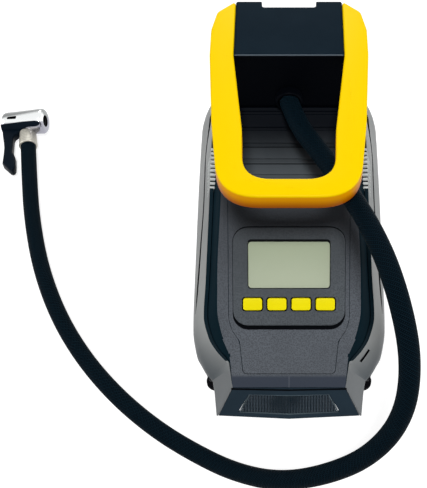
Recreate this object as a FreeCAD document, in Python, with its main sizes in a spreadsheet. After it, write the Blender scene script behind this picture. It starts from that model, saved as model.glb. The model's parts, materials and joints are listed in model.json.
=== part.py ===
"""Portable tire inflator with a loop handle, a battery dock and a braided hose.

Millimetres. +Z is up, the display faces the user at -Y, and +X is the user's right.
The origin is on the floor, under the middle of the housing.
"""
import FreeCAD
import Part
import Sketcher
import math
import os
import re

from FreeCAD import Placement, Rotation, Vector

os.makedirs("parts", exist_ok=True)

doc = FreeCAD.newDocument("TireInflator")
sheet = doc.addObject("Spreadsheet::Sheet", "Sizes")

SIZES = (
    # Housing: length, widest half width, walls and running gaps
    ("rear_end", 128.0, "Y of the rear cover's seat"),
    ("body_half", 70.4, "half width at the shoulder of the side shells"),
    ("floor_gap", 4.0, "base shell above the floor, on its feet"),
    ("rim_top", 16.0, "height of the base shell's rim"),
    ("wall", 2.6, "plastic wall"),
    ("gap", 0.3, "clearance between separate pieces"),
    ("corner_blend", 1.2, "small edge rounding"),
    # Front slope that carries the display and the ribbed deck
    ("nose_front", 115.0, "distance of the slope's foot in front of the origin"),
    ("nose_rise", 27.0, "height of the slope's foot"),
    ("slope_angle", 41.6, "slope of the panel above the floor"),
    ("band_drop", 9.0, "drop of the smooth band beside the panel"),
    ("neck_half", 41.2, "half width of the panel at the nose"),
    ("nose_reach", 14.5, "how far the lamp face leans out below the slope's foot"),
    ("nose_low", 11.0, "height of the lamp face's lower edge"),
    ("nose_flare", 51.8, "half width of the lamp face's lower edge"),
    ("nose_keel", 2.6, "how far the lamp face stands out at its middle"),
    # Tower with the battery dock
    ("tower_half", 35.7, "half width of the tower"),
    ("tower_front", 33.0, "Y of the tower's front face"),
    ("tower_depth", 51.5, "depth of the tower"),
    ("tower_top", 205.7, "height of the tower's top"),
    ("tower_floor", 150.0, "height of the tower's lower edge"),
    ("notch_half", 18.2, "half width of the notch for the battery's latch"),
    ("notch_depth", 6.0, "depth of the notch"),
    ("shoulder_top", 158.0, "height of the housing around the tower"),
    ("shelf_top", 96.0, "height of the shelf behind the tower"),
    # Loop handle
    ("handle_thick", 12.4, "thickness of the handle"),
    ("handle_rear_half", 51.2, "outer half width of the handle at the tower"),
    ("handle_front_half", 43.4, "outer half width of the handle at its bar"),
    ("grip_half", 27.6, "inner half width of the handle at its bar"),
    ("bar_front", 81.0, "distance of the bar's front edge before the origin"),
    ("bar_depth", 11.6, "depth of the bar"),
    ("bar_blend", 3.6, "edge rounding of the handle"),
    # Display plate and its parts, measured up the slope from its foot
    ("plate_half", 42.3, "half width of the inset front plate"),
    ("plate_thick", 1.4, "thickness of the inset front plate above its pocket"),
    ("bezel_low", 45.4, "lower edge of the raised display plate"),
    ("bezel_high", 114.6, "upper edge of the raised display plate"),
    ("bezel_half", 39.1, "half width of the raised display plate"),
    ("bezel_rise", 4.2, "height of the raised display plate above the slope"),
    ("bezel_corner", 9.5, "corner radius of the raised display plate"),
    ("glass_low", 72.0, "lower edge of the display window"),
    ("glass_tall", 32.7, "height of the display window"),
    ("glass_wide", 57.0, "width of the display window"),
    ("glass_thick", 1.6, "thickness of the display window"),
    ("glass_sink", 1.2, "depth of the window below the raised plate"),
    ("button_low", 55.6, "lower edge of the buttons"),
    ("button_tall", 9.4, "height of a button"),
    ("button_wide", 14.0, "width of a button"),
    ("button_pitch", 16.9, "distance between the buttons"),
    ("button_proud", 1.5, "how far a button stands out"),
    ("button_travel", 0.8, "travel of a button"),
    ("button_gap", 0.45, "clearance around a button"),
    # Ribbed deck
    ("deck_low", 139.0, "lower edge of the ribbed deck"),
    ("deck_high", 196.6, "upper edge of the ribbed deck"),
    ("deck_pitch", 10.8, "distance between the slats"),
    ("groove_wide", 2.2, "width of a groove between slats"),
    ("groove_deep", 1.3, "depth of a groove between slats"),
    ("deck_rise", 1.0, "height of the slats above the slope"),
    # Compressor
    ("motor_radius", 23.0, "radius of the motor can"),
    ("motor_long", 62.0, "length of the motor can"),
    ("motor_front", 44.0, "Y of the motor's front end"),
    ("shaft_radius", 2.5, "radius of the motor shaft"),
    ("pinion_teeth", 10, "teeth of the motor pinion"),
    ("gear_teeth", 50, "teeth of the crank gear"),
    ("tooth_module", 1.0, "module of the teeth"),
    ("gear_wide", 6.0, "face width of the crank gear"),
    ("crank_side", 20.0, "distance of the crank axis to the user's left"),
    ("crank_rise", 45.0, "height of the crank axis"),
    ("crank_throw", 6.0, "throw of the crank pin"),
    ("rod_long", 36.0, "length of the connecting rod between its pins"),
    ("bore_radius", 10.0, "radius of the cylinder bore"),
    ("liner_wall", 2.0, "wall of the cylinder"),
    # Hose and chuck
    ("hose_radius", 6.5, "outer radius of the braided hose"),
    ("hose_rise", 167.6, "height of the hose socket"),
    ("socket_radius", 9.0, "radius of the hose socket's collar"),
    ("socket_proud", 6.0, "how far the collar stands out of the tower"),
    ("ferrule_radius", 5.6, "radius of the ferrule's neck"),
    ("ferrule_long", 15.0, "length of the ferrule"),
    ("chuck_radius", 9.2, "radius of the chuck's barrel"),
    ("chuck_long", 39.0, "length of the chuck's barrel"),
    ("mouth_radius", 4.0, "bore of the chuck's mouth, for a tyre valve"),
    ("mouth_deep", 9.0, "length of the chuck's mouth"),
    ("lever_long", 41.0, "length of the chuck's thumb lever from its pin"),
    ("lever_wide", 10.4, "width of the chuck's thumb lever"),
    ("pin_radius", 1.5, "radius of the lever's pin"),
    # Feet
    ("foot_radius", 7.0, "radius of a rubber foot"),
    ("foot_x", 54.0, "distance of a foot from the middle plane"),
    ("foot_front", 102.0, "distance of the front feet before the origin"),
    ("foot_rear", 104.0, "distance of the rear feet behind the origin"),
)

for row, (alias, number, note) in enumerate(SIZES, start=1):
    sheet.set("A%d" % row, note)
    sheet.set("B%d" % row, str(number))
    sheet.setAlias("B%d" % row, alias)
doc.recompute()

NAMES = [alias for alias, number, note in SIZES]


def size(alias):
    """Value of one driving dimension."""
    return float(sheet.get(alias))


def bound(text):
    """Expression in which every driving dimension points at its cell."""
    return re.sub(r"\b[a-z_]+\b", lambda word: "Sizes." + word.group(0) if word.group(0) in NAMES
                  else word.group(0), text)


def bind(thing, **expressions):
    """Bind properties of an object; a double underscore stands for a dot."""
    for prop, text in expressions.items():
        thing.setExpression(prop.replace("__", "."), bound(text))
    return thing


def at(thing, x="0", y="0", z="0"):
    """Bind where an object stands."""
    return bind(thing, Placement__Base__x=x, Placement__Base__y=y, Placement__Base__z=z)


def hidden(kind, name, **expressions):
    """A construction object that another one uses."""
    thing = doc.addObject(kind, name)
    return bind(thing, **expressions)


def block(name, x, y, z, long, wide, tall):
    """A box from its lowest corner and its sides."""
    thing = hidden("Part::Box", name, Length=long, Width=wide, Height=tall)
    return at(thing, x, y, z)


AXES = {
    "X": Rotation(Vector(0, 1, 0), 90),
    "Y": Rotation(Vector(1, 0, 0), -90),
    "Z": Rotation(),
}


def rod(name, axis, x, y, z, radius, long):
    """A cylinder from the middle of its first end, along +X, +Y or +Z."""
    thing = hidden("Part::Cylinder", name, Radius=radius, Height=long)
    thing.Placement = Placement(Vector(), AXES[axis])
    return at(thing, x, y, z)


def cut(name, base, *tools):
    """A boolean cut with one or more tools."""
    for index, tool in enumerate(tools):
        last = index == len(tools) - 1
        result = doc.addObject("Part::Cut", name if last else name + "_step%d" % index)
        result.Base = base
        result.Tool = tool
        base = result
    return base


def fuse(name, *shapes):
    """A boolean union."""
    result = doc.addObject("Part::MultiFuse", name)
    result.Shapes = list(shapes)
    return result


def group(name, *shapes):
    """Several separate solids that share one node."""
    result = doc.addObject("Part::Compound", name)
    result.Links = list(shapes)
    return result


def shaped(name, shape, placement=None):
    """A piece whose shape is worked out here."""
    thing = doc.addObject("Part::Feature", name)
    thing.Shape = shape
    if placement is not None:
        thing.Placement = placement
    return thing


PIECES = []


def piece(thing, label):
    """Name a finished sub-part and keep it for the output."""
    thing.Label = label
    PIECES.append(thing)
    return thing


# Frame of the front slope: x across, then up the slope, then away from it
SLOPE = math.radians(size("slope_angle"))
SLOPE_PLACE = Placement(
    Vector(0, -size("nose_front"), size("nose_rise")),
    Rotation(Vector(1, 0, 0), size("slope_angle")))


def slope_z(y):
    """Height of the front slope above the floor."""
    return size("nose_rise") + (y + size("nose_front")) * math.tan(SLOPE)


def slope_y(along):
    """Y of a place on the slope, measured along it."""
    return along * math.cos(SLOPE) - size("nose_front")


def on_slope(thing, x, along, out):
    """Bind a piece's place in the frame of the slope."""
    turn = "(slope_angle * 1deg)"
    thing.Placement = SLOPE_PLACE
    bind(thing, Placement__Rotation__Angle="slope_angle * 1deg")
    return at(
        thing, x,
        "-nose_front + (%s) * cos%s - (%s) * sin%s" % (along, turn, out, turn),
        "nose_rise + (%s) * sin%s + (%s) * cos%s" % (along, turn, out, turn))


def slope_block(name, x, along, out, long, wide, tall):
    """A box in the frame of the slope."""
    thing = hidden("Part::Box", name, Length=long, Width=wide, Height=tall)
    return on_slope(thing, x, along, out)


def slope_rod(name, x, along, out, radius, tall):
    """A cylinder that stands on the slope."""
    thing = hidden("Part::Cylinder", name, Radius=radius, Height=tall)
    return on_slope(thing, x, along, out)


def rounded_pad(name, wide, tall, thick, corner, crown=None):
    """A padded rectangle about its own origin, with rounded corners and an optional soft edge."""
    body = doc.addObject("PartDesign::Body", name)
    sketch = body.newObject("Sketcher::SketchObject", name + "_outline")
    plane = [feature for feature in body.Origin.OriginFeatures if feature.Role == "XY_Plane"][0]
    sketch.AttachmentSupport = (plane, "")
    sketch.MapMode = "FlatFace"
    corners = [Vector(-5, -4, 0), Vector(5, -4, 0), Vector(5, 4, 0), Vector(-5, 4, 0)]
    for index in range(4):
        sketch.addGeometry(Part.LineSegment(corners[index], corners[(index + 1) % 4]), False)
    for index in range(4):
        sketch.addConstraint(Sketcher.Constraint("Coincident", index, 2, (index + 1) % 4, 1))
        sketch.addConstraint(Sketcher.Constraint("Horizontal" if index % 2 == 0 else "Vertical", index))
    sketch.addConstraint(Sketcher.Constraint("Symmetric", 0, 1, 2, 1, -1, 1))
    across = sketch.addConstraint(Sketcher.Constraint("DistanceX", 0, 1, 0, 2, 10.0))
    along = sketch.addConstraint(Sketcher.Constraint("DistanceY", 1, 1, 1, 2, 8.0))
    sketch.renameConstraint(across, "across")
    sketch.renameConstraint(along, "along")
    sketch.setExpression("Constraints.across", bound(wide))
    sketch.setExpression("Constraints.along", bound(tall))
    pad = body.newObject("PartDesign::Pad", name + "_pad")
    pad.Profile = sketch
    bind(pad, Length=thick)
    doc.recompute()
    round_edges(body, pad, name + "_corners", corner,
                lambda edge: abs(edge.tangentAt(edge.FirstParameter).z) > 0.9)
    if crown is not None:
        highest = body.Tip.Shape.BoundBox.ZMax
        round_edges(body, body.Tip, name + "_crown", crown,
                    lambda edge: edge.BoundBox.ZMin > highest - 0.01)
    return body


def round_edges(body, feature, name, radius, wanted):
    """Fillet the chosen edges of a body's last feature."""
    edges = ["Edge%d" % (index + 1) for index, edge in enumerate(feature.Shape.Edges) if wanted(edge)]
    fillet = body.newObject("PartDesign::Fillet", name)
    fillet.Base = (feature, edges)
    bind(fillet, Radius=radius)
    doc.recompute()
    return fillet


def ruled(sections):
    """A solid through closed outlines of (x, y, z) corners."""
    wires = [Part.makePolygon([Vector(*corner) for corner in outline + outline[:1]]) for outline in sections]
    return Part.makeLoft(wires, True, True)


def mirrored(shape):
    """The same shape on the user's left."""
    return shape.mirror(Vector(), Vector(1, 0, 0))


def rounded_wire(corners, closed):
    """A wire of straight runs joined by tangent arcs, from corners that each state their radius."""
    count = len(corners)
    stops = []
    for index, (corner, radius) in enumerate(corners):
        if radius <= 0 or (not closed and index in (0, count - 1)):
            stops.append((corner, None, corner))
            continue
        before = (corners[index - 1][0] - corner).normalize()
        after = (corners[(index + 1) % count][0] - corner).normalize()
        half_turn = (math.pi - before.getAngle(after)) / 2
        reach = radius * math.tan(half_turn)
        inside = (before + after).normalize()
        middle = corner + inside * (radius / math.cos(half_turn) - radius)
        stops.append((corner + before * reach, middle, corner + after * reach))
    edges = []
    for index, (start, middle, end) in enumerate(stops):
        if middle is not None:
            edges.append(Part.Arc(start, middle, end).toShape())
        if closed or index < count - 1:
            edges.append(Part.LineSegment(end, stops[(index + 1) % count][0]).toShape())
    return Part.Wire(edges)


def column(outline, low, high):
    """An upright solid with a plan outline of (x, y) corners."""
    wire = Part.makePolygon([Vector(x, y, low) for x, y in outline + outline[:1]])
    return Part.Face(wire).extrude(Vector(0, 0, high - low))


# Housing stations from front to rear: Y, half width of the panel's edge, half width and height of
# the side shell's upper edge, and half width and height of its shoulder
WALL = size("wall")
GAP = size("gap")
RIM = size("rim_top")
REAR = size("rear_end")
FRONT = size("tower_front")
TOWER_BACK = FRONT + size("tower_depth")
HALF = size("body_half")
DROP = size("band_drop")

FRONT_STATIONS = (
    (-101.0, 43.0, size("neck_half") + 2.6, 1.8, HALF - 8.2, 22.0),
    (-94.0, 43.5, HALF - 19.0, 4.0, HALF - 4.2, 27.0),
    (-86.0, 48.0, HALF - 13.4, 6.5, HALF - 1.0, 33.0),
    (-73.0, 51.4, HALF - 9.8, DROP, HALF, 39.5),
    (-55.0, 50.8, HALF - 11.4, DROP, HALF, 43.0),
    (-15.0, 48.0, HALF - 14.2, DROP + 2.0, HALF, 49.0),
    (FRONT, 45.5, HALF - 17.4, DROP + 10.0, HALF, 57.0),
)
REAR_STATIONS = (
    (REAR - 33.0, HALF - 20.9, 103.0, HALF, 65.0),
    (REAR - 22.0, HALF - 21.4, 96.0, HALF - 0.8, 64.0),
    (REAR - 10.0, HALF - 22.4, 89.0, HALF - 3.4, 63.0),
    (REAR, HALF - 24.4, 84.0, HALF - 8.4, 62.0),
)
# The shell's front turns in from this station to a slanted crease, where its cheek begins
TURN_IN = (-98.5, HALF - 24.1, 2.6, HALF - 7.0, 24.0)
CREASE = (
    (size("neck_half") + 2.6, -101.0, slope_z(-101.0) - 1.8),
    (HALF - 15.0, -105.2, 18.6), (HALF - 15.8, -105.4, RIM),
)


def shell_outline(y, edge, edge_z, shoulder, shoulder_z, low):
    """Thin outline of a side shell at one station."""
    return [
        (edge, y, edge_z), (shoulder, y, shoulder_z), (shoulder, y, low),
        (shoulder - WALL, y, low), (shoulder - WALL, y, shoulder_z - WALL / 2), (edge - WALL, y, edge_z),
    ]


CHEEK_WALL = 1.2


def side_shell():
    """Grey outer shell on the user's right, with its cheek beside the lamp."""
    keel_y = -(size("nose_front") + size("nose_reach"))
    top = (size("neck_half"), -size("nose_front"), size("nose_rise"))
    low = (size("nose_flare"), keel_y, size("nose_low"))
    middle = tuple((a + b) / 2 for a, b in zip(top, low))
    cheek = [top, middle, low]
    sections = [line + [(x - CHEEK_WALL, y, z) for x, y, z in reversed(line)]
                for line in (cheek, list(CREASE))]
    y, edge, drop, shoulder, shoulder_z = TURN_IN
    sections.append(shell_outline(y, edge, slope_z(y) - drop, shoulder, shoulder_z, RIM))
    for y, panel, edge, drop, shoulder, shoulder_z in FRONT_STATIONS[1:]:
        sections.append(shell_outline(y, edge, slope_z(y) - drop, shoulder, shoulder_z, RIM))
    for y, edge, edge_z, shoulder, shoulder_z in REAR_STATIONS:
        sections.append(shell_outline(y, edge, edge_z, shoulder, shoulder_z, RIM))
    return ruled(sections)


GROOVE_DEEP = 1.6


def groove_in_shell():
    """Side outline of the long pointed groove along the outer face of a side shell."""
    path = (
        (84.0, 86.0, 1.8), (60.0, 92.0, 1.8), (22.0, 97.0, 1.8), (-16.0, 74.0, 1.8), (-38.0, 60.0, 1.5),
        (-55.0, 51.0, 1.0), (-66.0, 45.0, 0.2),
    )
    upper = [(0.0, y, z + half) for y, z, half in path]
    lower = [(0.0, y, z - half) for y, z, half in path]
    return upper + lower[::-1]


def groove_cutter(shell):
    """The groove follows the shell: its cutter is the shell moved inwards, kept to a thin band."""
    outline = groove_in_shell()
    wire = Part.makePolygon([Vector(*corner) for corner in outline + outline[:1]])
    band = Part.Face(wire).extrude(Vector(HALF + 10, 0, 0))
    kept = shell.copy()
    kept.translate(Vector(-GROOVE_DEEP, 0, 0))
    return band.cut(kept)


def core_outline(y, panel, top, edge, edge_z, low, inset, drop):
    """Outline of the core at one station, from the middle plane outwards."""
    return [
        (0.0, y, top - drop), (panel - inset, y, top - drop), (edge - inset, y, edge_z - drop * 0.6),
        (edge - inset, y, low), (0.0, y, low),
    ]


def core_solid(inset, drop, low, front, rear):
    """Solid core on the right, shrunk by a wall where asked."""
    steep = drop / math.cos(SLOPE)
    first = []
    nose_edge = size("neck_half") - CHEEK_WALL - GAP
    nose = (-size("nose_front") + 2.4 + front, nose_edge - 0.2, nose_edge, 0.9)
    stations = [nose] + [(y, panel, edge - WALL - GAP, fall)
                         for y, panel, edge, fall, shoulder, shoulder_z in FRONT_STATIONS]
    for y, panel, edge, fall in stations:
        top = slope_z(y)
        first.append(core_outline(y, min(panel, edge - 0.4), top, edge, top - fall, low, inset, steep))
    y, panel, edge, fall = stations[-1]
    rear_edge = REAR_STATIONS[0][1] - WALL - GAP
    top = size("shoulder_top")
    second = [core_outline(place, min(panel, side - 0.4), top, side, top - fall, low, inset, drop)
              for place, side in ((FRONT, edge), (TOWER_BACK - inset, rear_edge))]
    top = size("shelf_top")
    edge = REAR_STATIONS[-1][1] - WALL - GAP
    third = [core_outline(place, edge - 4.0, top, edge, top - 6.0, low, inset, drop)
             for place in (TOWER_BACK - inset - 0.5, REAR - rear)]
    return ruled(first).fuse([ruled(second), ruled(third)])


def core_half():
    """Dark inner housing half on the right: slope, shoulder around the tower, shelf and side wall."""
    hollow = core_solid(WALL, WALL, RIM - 2.0, 5.0, -2.0)
    return core_solid(0.0, 0.0, RIM + GAP, 0.0, 0.0).cut(hollow)


def slab(outline, low, high, corner=0.0):
    """A plate on the slope with a closed outline of (x, along) corners and rounded corners."""
    wire = Part.makePolygon([Vector(x, along, low) for x, along in outline + outline[:1]])
    shape = Part.Face(wire).extrude(Vector(0, 0, high - low))
    if corner > 0:
        upright = [edge for edge in shape.Edges if abs(edge.tangentAt(edge.FirstParameter).z) > 0.9]
        shape = shape.makeFillet(corner, upright)
    return shape


def both_sides(right_side):
    """Closed outline from the corners of its right side, from low to high."""
    return right_side + [(-x, along) for x, along in reversed(right_side)]


def on_slope_shape(shape):
    """A copy of a shape moved from the slope's frame to the part's frame."""
    moved = shape.copy()
    moved.Placement = SLOPE_PLACE.multiply(moved.Placement)
    return moved


# Inset front plate: a wide field around the display that narrows to a bib below it
def plate_outline(grow):
    """Right side of the front plate, grown by a seam."""
    wide = size("plate_half") + grow
    low = size("bezel_low")
    return both_sides([
        (wide - 9.9, low - 35.4 - grow), (wide - 7.6, low - 12.0), (wide - 2.2, low - 4.0),
        (wide, low + 4.0), (wide, size("deck_low") - 2.0 + grow),
    ])


SEAM = 0.35
PLATE_DEEP = size("plate_thick")
OPEN_HALF = size("bezel_half") - 6.0
OPEN_LOW = size("bezel_low") + 6.0
OPEN_HIGH = size("bezel_high") - 6.0
display_opening = slab(both_sides([(OPEN_HALF, OPEN_LOW), (OPEN_HALF, OPEN_HIGH)]), -8.0, 1.4)

plate_shape = slab(plate_outline(0.0), -PLATE_DEEP, 0.0, 3.0).cut(display_opening)
piece(shaped("FrontPlate", plate_shape, SLOPE_PLACE), "front_plate")

DECK_HALF = FRONT_STATIONS[-1][1] - 2.6
DECK_SEAT = 1.5
deck_corners = [(DECK_HALF + GAP, size("deck_low") - GAP), (DECK_HALF + GAP, size("deck_high") + 8.0)]
deck_pocket = slab(both_sides(deck_corners), -DECK_SEAT, 30.0)
tower_hole = Part.makeBox(
    2 * (size("tower_half") + GAP), size("tower_depth") + GAP + 3.0, 30.0,
    Vector(-size("tower_half") - GAP, FRONT - GAP, size("tower_floor") - GAP))
plate_pocket = slab(plate_outline(SEAM), -PLATE_DEEP, 20.0, 3.0)


# Side vents in the smooth band: a row of louvre slots on each side
VENT_COUNT = 8
VENT_PITCH = 2.2
VENT_WIDE = 1.1
VENT_START = -8.0
VENT_IN = FRONT_STATIONS[-2][1] - 1.6
VENT_OUT = FRONT_STATIONS[-2][2] + 4.2


def vent_slot(index):
    """Cutter of one slot, level and crosswise, in the band on the right."""
    y = VENT_START + index * VENT_PITCH
    low = slope_z(y) - size("band_drop") - 1.0
    return Part.makeBox(VENT_OUT - VENT_IN, VENT_WIDE, 6.5, Vector(VENT_IN, y, low))


core_right = core_half().cut([
    on_slope_shape(plate_pocket), on_slope_shape(display_opening), on_slope_shape(deck_pocket), tower_hole,
] + [vent_slot(index) for index in range(VENT_COUNT)])
piece(shaped("CoreRight", core_right), "right_core_half")
piece(shaped("CoreLeft", mirrored(core_right)), "left_core_half")

shell_right = side_shell()
shell_right = shell_right.cut(groove_cutter(shell_right))
piece(shaped("ShellRight", shell_right), "right_side_shell")
piece(shaped("ShellLeft", mirrored(shell_right)), "left_side_shell")

# Ribbed deck between the display and the tower
deck = slope_block("DeckBlank", "-%g" % DECK_HALF, "deck_low", "-%g" % DECK_SEAT,
                   "%g" % (2 * DECK_HALF), "deck_high - deck_low", "%g + deck_rise" % DECK_SEAT)
grooves = []
for index in range(int((size("deck_high") - size("deck_low")) / size("deck_pitch"))):
    grooves.append(slope_block(
        "DeckGroove%d" % index, "-%g" % (DECK_HALF + 5),
        "deck_low + %d * deck_pitch - groove_wide / 2" % (index + 1), "deck_rise - groove_deep",
        "%g" % (2 * DECK_HALF + 10), "groove_wide", "groove_deep + 1"))
piece(cut("Deck", deck, *grooves), "ribbed_deck")

# Base shell: a shallow pan with the housing's plan outline
def plan_outline(inset):
    """Plan outline of the base shell, shrunk by a wall where asked."""
    right = [(CREASE[1][0] - inset, CREASE[1][1] + inset), (TURN_IN[3] - inset, TURN_IN[0])]
    right += [(shoulder - inset, y) for y, panel, edge, drop, shoulder, shoulder_z in FRONT_STATIONS[1:]]
    right += [(shoulder - inset, y) for y, edge, edge_z, shoulder, shoulder_z in REAR_STATIONS[:-1]]
    right.append((REAR_STATIONS[-1][3] - inset, REAR - inset))
    return right + [(-x, y) for x, y in reversed(right)]


def nose_outline(inset):
    """Plan outline of the base under the lamp."""
    front = -(size("nose_front") + size("nose_reach")) + 5.5 + inset
    wide = size("nose_flare") - 2.0 - inset
    rear = FRONT_STATIONS[0][0] + 1.0
    return [(wide + 8.0, rear), (-wide - 8.0, rear), (-wide, front), (wide, front)]


FLOOR = size("floor_gap")
nose_rim = size("nose_low") - GAP
pan = column(plan_outline(0.0), FLOOR, RIM).fuse(column(nose_outline(0.0), FLOOR, nose_rim))
pan_hollow = column(plan_outline(WALL), FLOOR + WALL, RIM + 1.0)
nose_hollow = column(nose_outline(WALL), FLOOR + WALL, nose_rim + 1.0)
FOOT_PLACES = [(side * size("foot_x"), y) for side in (-1, 1)
               for y in (-size("foot_front") + 4.0, size("foot_rear") - 4.0)]
foot_holes = [Part.makeCylinder(2.0, 10.0, Vector(x, y, FLOOR - 1.0)) for x, y in FOOT_PLACES]
BOSS_PLACES = [(side * 40.0, y) for side in (-1, 1) for y in (-84.0, 6.0, 118.0)]
bosses = [Part.makeCylinder(4.0, RIM - FLOOR - 2.0, Vector(x, y, FLOOR)) for x, y in BOSS_PLACES]
screw_wells = [Part.makeCylinder(1.6, 40.0, Vector(x, y, FLOOR - 1.0)) for x, y in BOSS_PLACES]
screw_heads = [Part.makeCylinder(3.2, 4.0, Vector(x, y, FLOOR - 1.0)) for x, y in BOSS_PLACES]
base = pan.cut([pan_hollow, nose_hollow]).fuse(bosses).cut(foot_holes + screw_wells + screw_heads)
piece(shaped("Base", base), "base_shell")


def soften(shape, radius, wanted):
    """Fillet the chosen edges of a shape."""
    edges = [edge for edge in shape.Edges if wanted(edge)]
    return shape.makeFillet(radius, edges)


# Tower: a hollow block with a notch in its top rear edge
tower = soften(
    Part.makeBox(2 * size("tower_half"), size("tower_depth"), size("tower_top") - size("tower_floor"),
                 Vector(-size("tower_half"), FRONT, size("tower_floor"))),
    1.6, lambda edge: edge.BoundBox.ZMin > size("tower_top") - 0.1
    or (edge.BoundBox.ZLength > 20 and edge.BoundBox.YMin > TOWER_BACK - 0.1))
notch = soften(
    Part.makeBox(2 * size("notch_half"), size("notch_depth") + 10, 16.0,
                 Vector(-size("notch_half"), TOWER_BACK - size("notch_depth"), size("tower_top") - 12.0)),
    2.0, lambda edge: edge.BoundBox.ZLength > 10 and edge.BoundBox.YMax < TOWER_BACK)
tower_hollow = Part.makeBox(
    2 * (size("tower_half") - WALL), size("tower_depth") - size("notch_depth") - 2 * WALL,
    size("tower_top") - size("tower_floor"),
    Vector(-size("tower_half") + WALL, FRONT + WALL, size("tower_floor") - WALL))
SOCKET_NECK = size("hose_radius") + 1.0
socket_hole = Part.makeCylinder(
    SOCKET_NECK + 0.05, 10.0, Vector(0, FRONT - 5.0, size("hose_rise")), Vector(0, 1, 0))
tower = tower.cut([notch, tower_hollow, socket_hole])
piece(shaped("Tower", tower), "tower_housing")

# Battery rails and terminal block on the rear of the tower, where a battery slides down
RAIL_HALF = 30.0
RAIL_LOW = size("shelf_top") + 16.0
RAIL_HIGH = size("tower_top") - 14.0
rails = [
    block("RailPlate", "-%g" % RAIL_HALF, "tower_front + tower_depth", "%g" % RAIL_LOW,
          "%g" % (2 * RAIL_HALF), "2.5", "%g" % (RAIL_HIGH - RAIL_LOW)),
]
for side, x in (("Left", -RAIL_HALF), ("Right", RAIL_HALF - 3.0)):
    rails.append(block("RailWall" + side, "%g" % x, "tower_front + tower_depth", "%g" % RAIL_LOW,
                       "3", "9", "%g" % (RAIL_HIGH - RAIL_LOW)))
for side, x in (("Left", -RAIL_HALF), ("Right", RAIL_HALF - 7.0)):
    rails.append(block("RailLip" + side, "%g" % x, "tower_front + tower_depth + 6.5", "%g" % RAIL_LOW,
                       "7", "2.5", "%g" % (RAIL_HIGH - RAIL_LOW)))
piece(fuse("BatteryRails", *rails), "battery_rails")

terminal = block("TerminalBody", "-20", "tower_front + tower_depth", "shelf_top", "40", "14", "15")
blade_slots = []
blades = []
for index in range(4):
    x = -13.5 + index * 9.0
    blades.append(block("Blade%d" % index, "%g" % (x - 0.5), "tower_front + tower_depth + 4",
                        "shelf_top + 6", "1", "6", "21"))
    blade_slots.append(block("BladeSlot%d" % index, "%g" % (x - 0.5), "tower_front + tower_depth + 4",
                             "shelf_top + 6", "1", "6", "21"))
piece(cut("TerminalBlock", terminal, *blade_slots), "terminal_block")
piece(group("TerminalBlades", *blades), "terminal_blades")

# Loop handle: two arms clasp the tower and run forward to the bar
TOP = size("tower_top")
THICK = size("handle_thick")
ARM_REAR = size("handle_rear_half")
ARM_FRONT = size("handle_front_half")
BAR_Y = -size("bar_front")
GRIP = size("grip_half")
CLASP = size("tower_half")
GRIP_Y = BAR_Y + size("bar_depth")
# Corners of the right side from the rear end to the bar, each with the radius that rounds it
outer_right = (
    (CLASP + 2.0, TOWER_BACK - 1.5, 0.0), (ARM_REAR - 3.4, TOWER_BACK - 10.5, 7.0),
    (ARM_REAR, TOWER_BACK - 27.0, 16.0), (ARM_REAR, TOWER_BACK - 50.0, 60.0),
    (ARM_FRONT + 4.0, BAR_Y + 56.0, 150.0), (ARM_FRONT - 2.4, BAR_Y, 17.0),
)
inner_right = (
    (GRIP - 0.6, GRIP_Y, 11.0), (GRIP, BAR_Y + 26.0, 60.0),
    (CLASP, FRONT, 0.0), (CLASP, TOWER_BACK - 1.5, 0.0),
)
corners = list(outer_right)
corners += [(-x, y, radius) for x, y, radius in reversed(outer_right)]
corners += [(-x, y, radius) for x, y, radius in reversed(inner_right)]
corners += list(inner_right)
wire = rounded_wire([(Vector(x, y, 0), radius) for x, y, radius in corners], True)
loop = Part.Face(wire).extrude(Vector(0, 0, THICK))
blend = min(size("bar_blend"), THICK * 0.45)


def outer_edge(edge):
    """Level edges on the outer side of the loop."""
    box = edge.BoundBox
    wide = max(abs(box.XMin), abs(box.XMax)) > CLASP + 2.1
    return box.ZLength < 0.01 and (wide or box.YMax < BAR_Y + 1.0)


def inner_edge(edge):
    """Level edges around the grip hole."""
    box = edge.BoundBox
    narrow = max(abs(box.XMin), abs(box.XMax)) < CLASP + 0.1
    return box.ZLength < 0.01 and narrow and box.YMin > GRIP_Y - 0.1 and box.YMax < FRONT + 0.1


loop = soften(loop, blend, outer_edge).common(soften(loop, blend, inner_edge))
loop.translate(Vector(0, 0, TOP - THICK))
piece(shaped("Handle", loop), "handle")


# Lamp in the nose: a keeled face with a window, a ribbed lens and a reflector behind it
def lamp_point(down, x):
    """A point of the lamp face: down runs from its upper edge (0) to its lower edge (1)."""
    half = size("neck_half") + down * (size("nose_flare") - size("neck_half"))
    keel = size("nose_keel") * (0.35 + 0.65 * down) * (1 - abs(x) / half)
    y = -size("nose_front") - down * size("nose_reach") - keel
    z = size("nose_rise") - down * (size("nose_rise") - size("nose_low"))
    return Vector(x, y, z)


def lamp_plate(high, low, high_half, low_half, front, back):
    """A keeled plate on the lamp face between two depths behind it."""
    inward = Vector(0, math.cos(SLOPE), -math.sin(SLOPE) * 0.35)
    sections = []
    for side in (-1, 0, 1):
        upper = lamp_point(high, side * high_half)
        lower = lamp_point(low, side * low_half)
        near = [upper + inward * front, lower + inward * front]
        far = [lower + inward * back, upper + inward * back]
        sections.append([tuple(corner) for corner in near + far])
    return ruled(sections)


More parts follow.
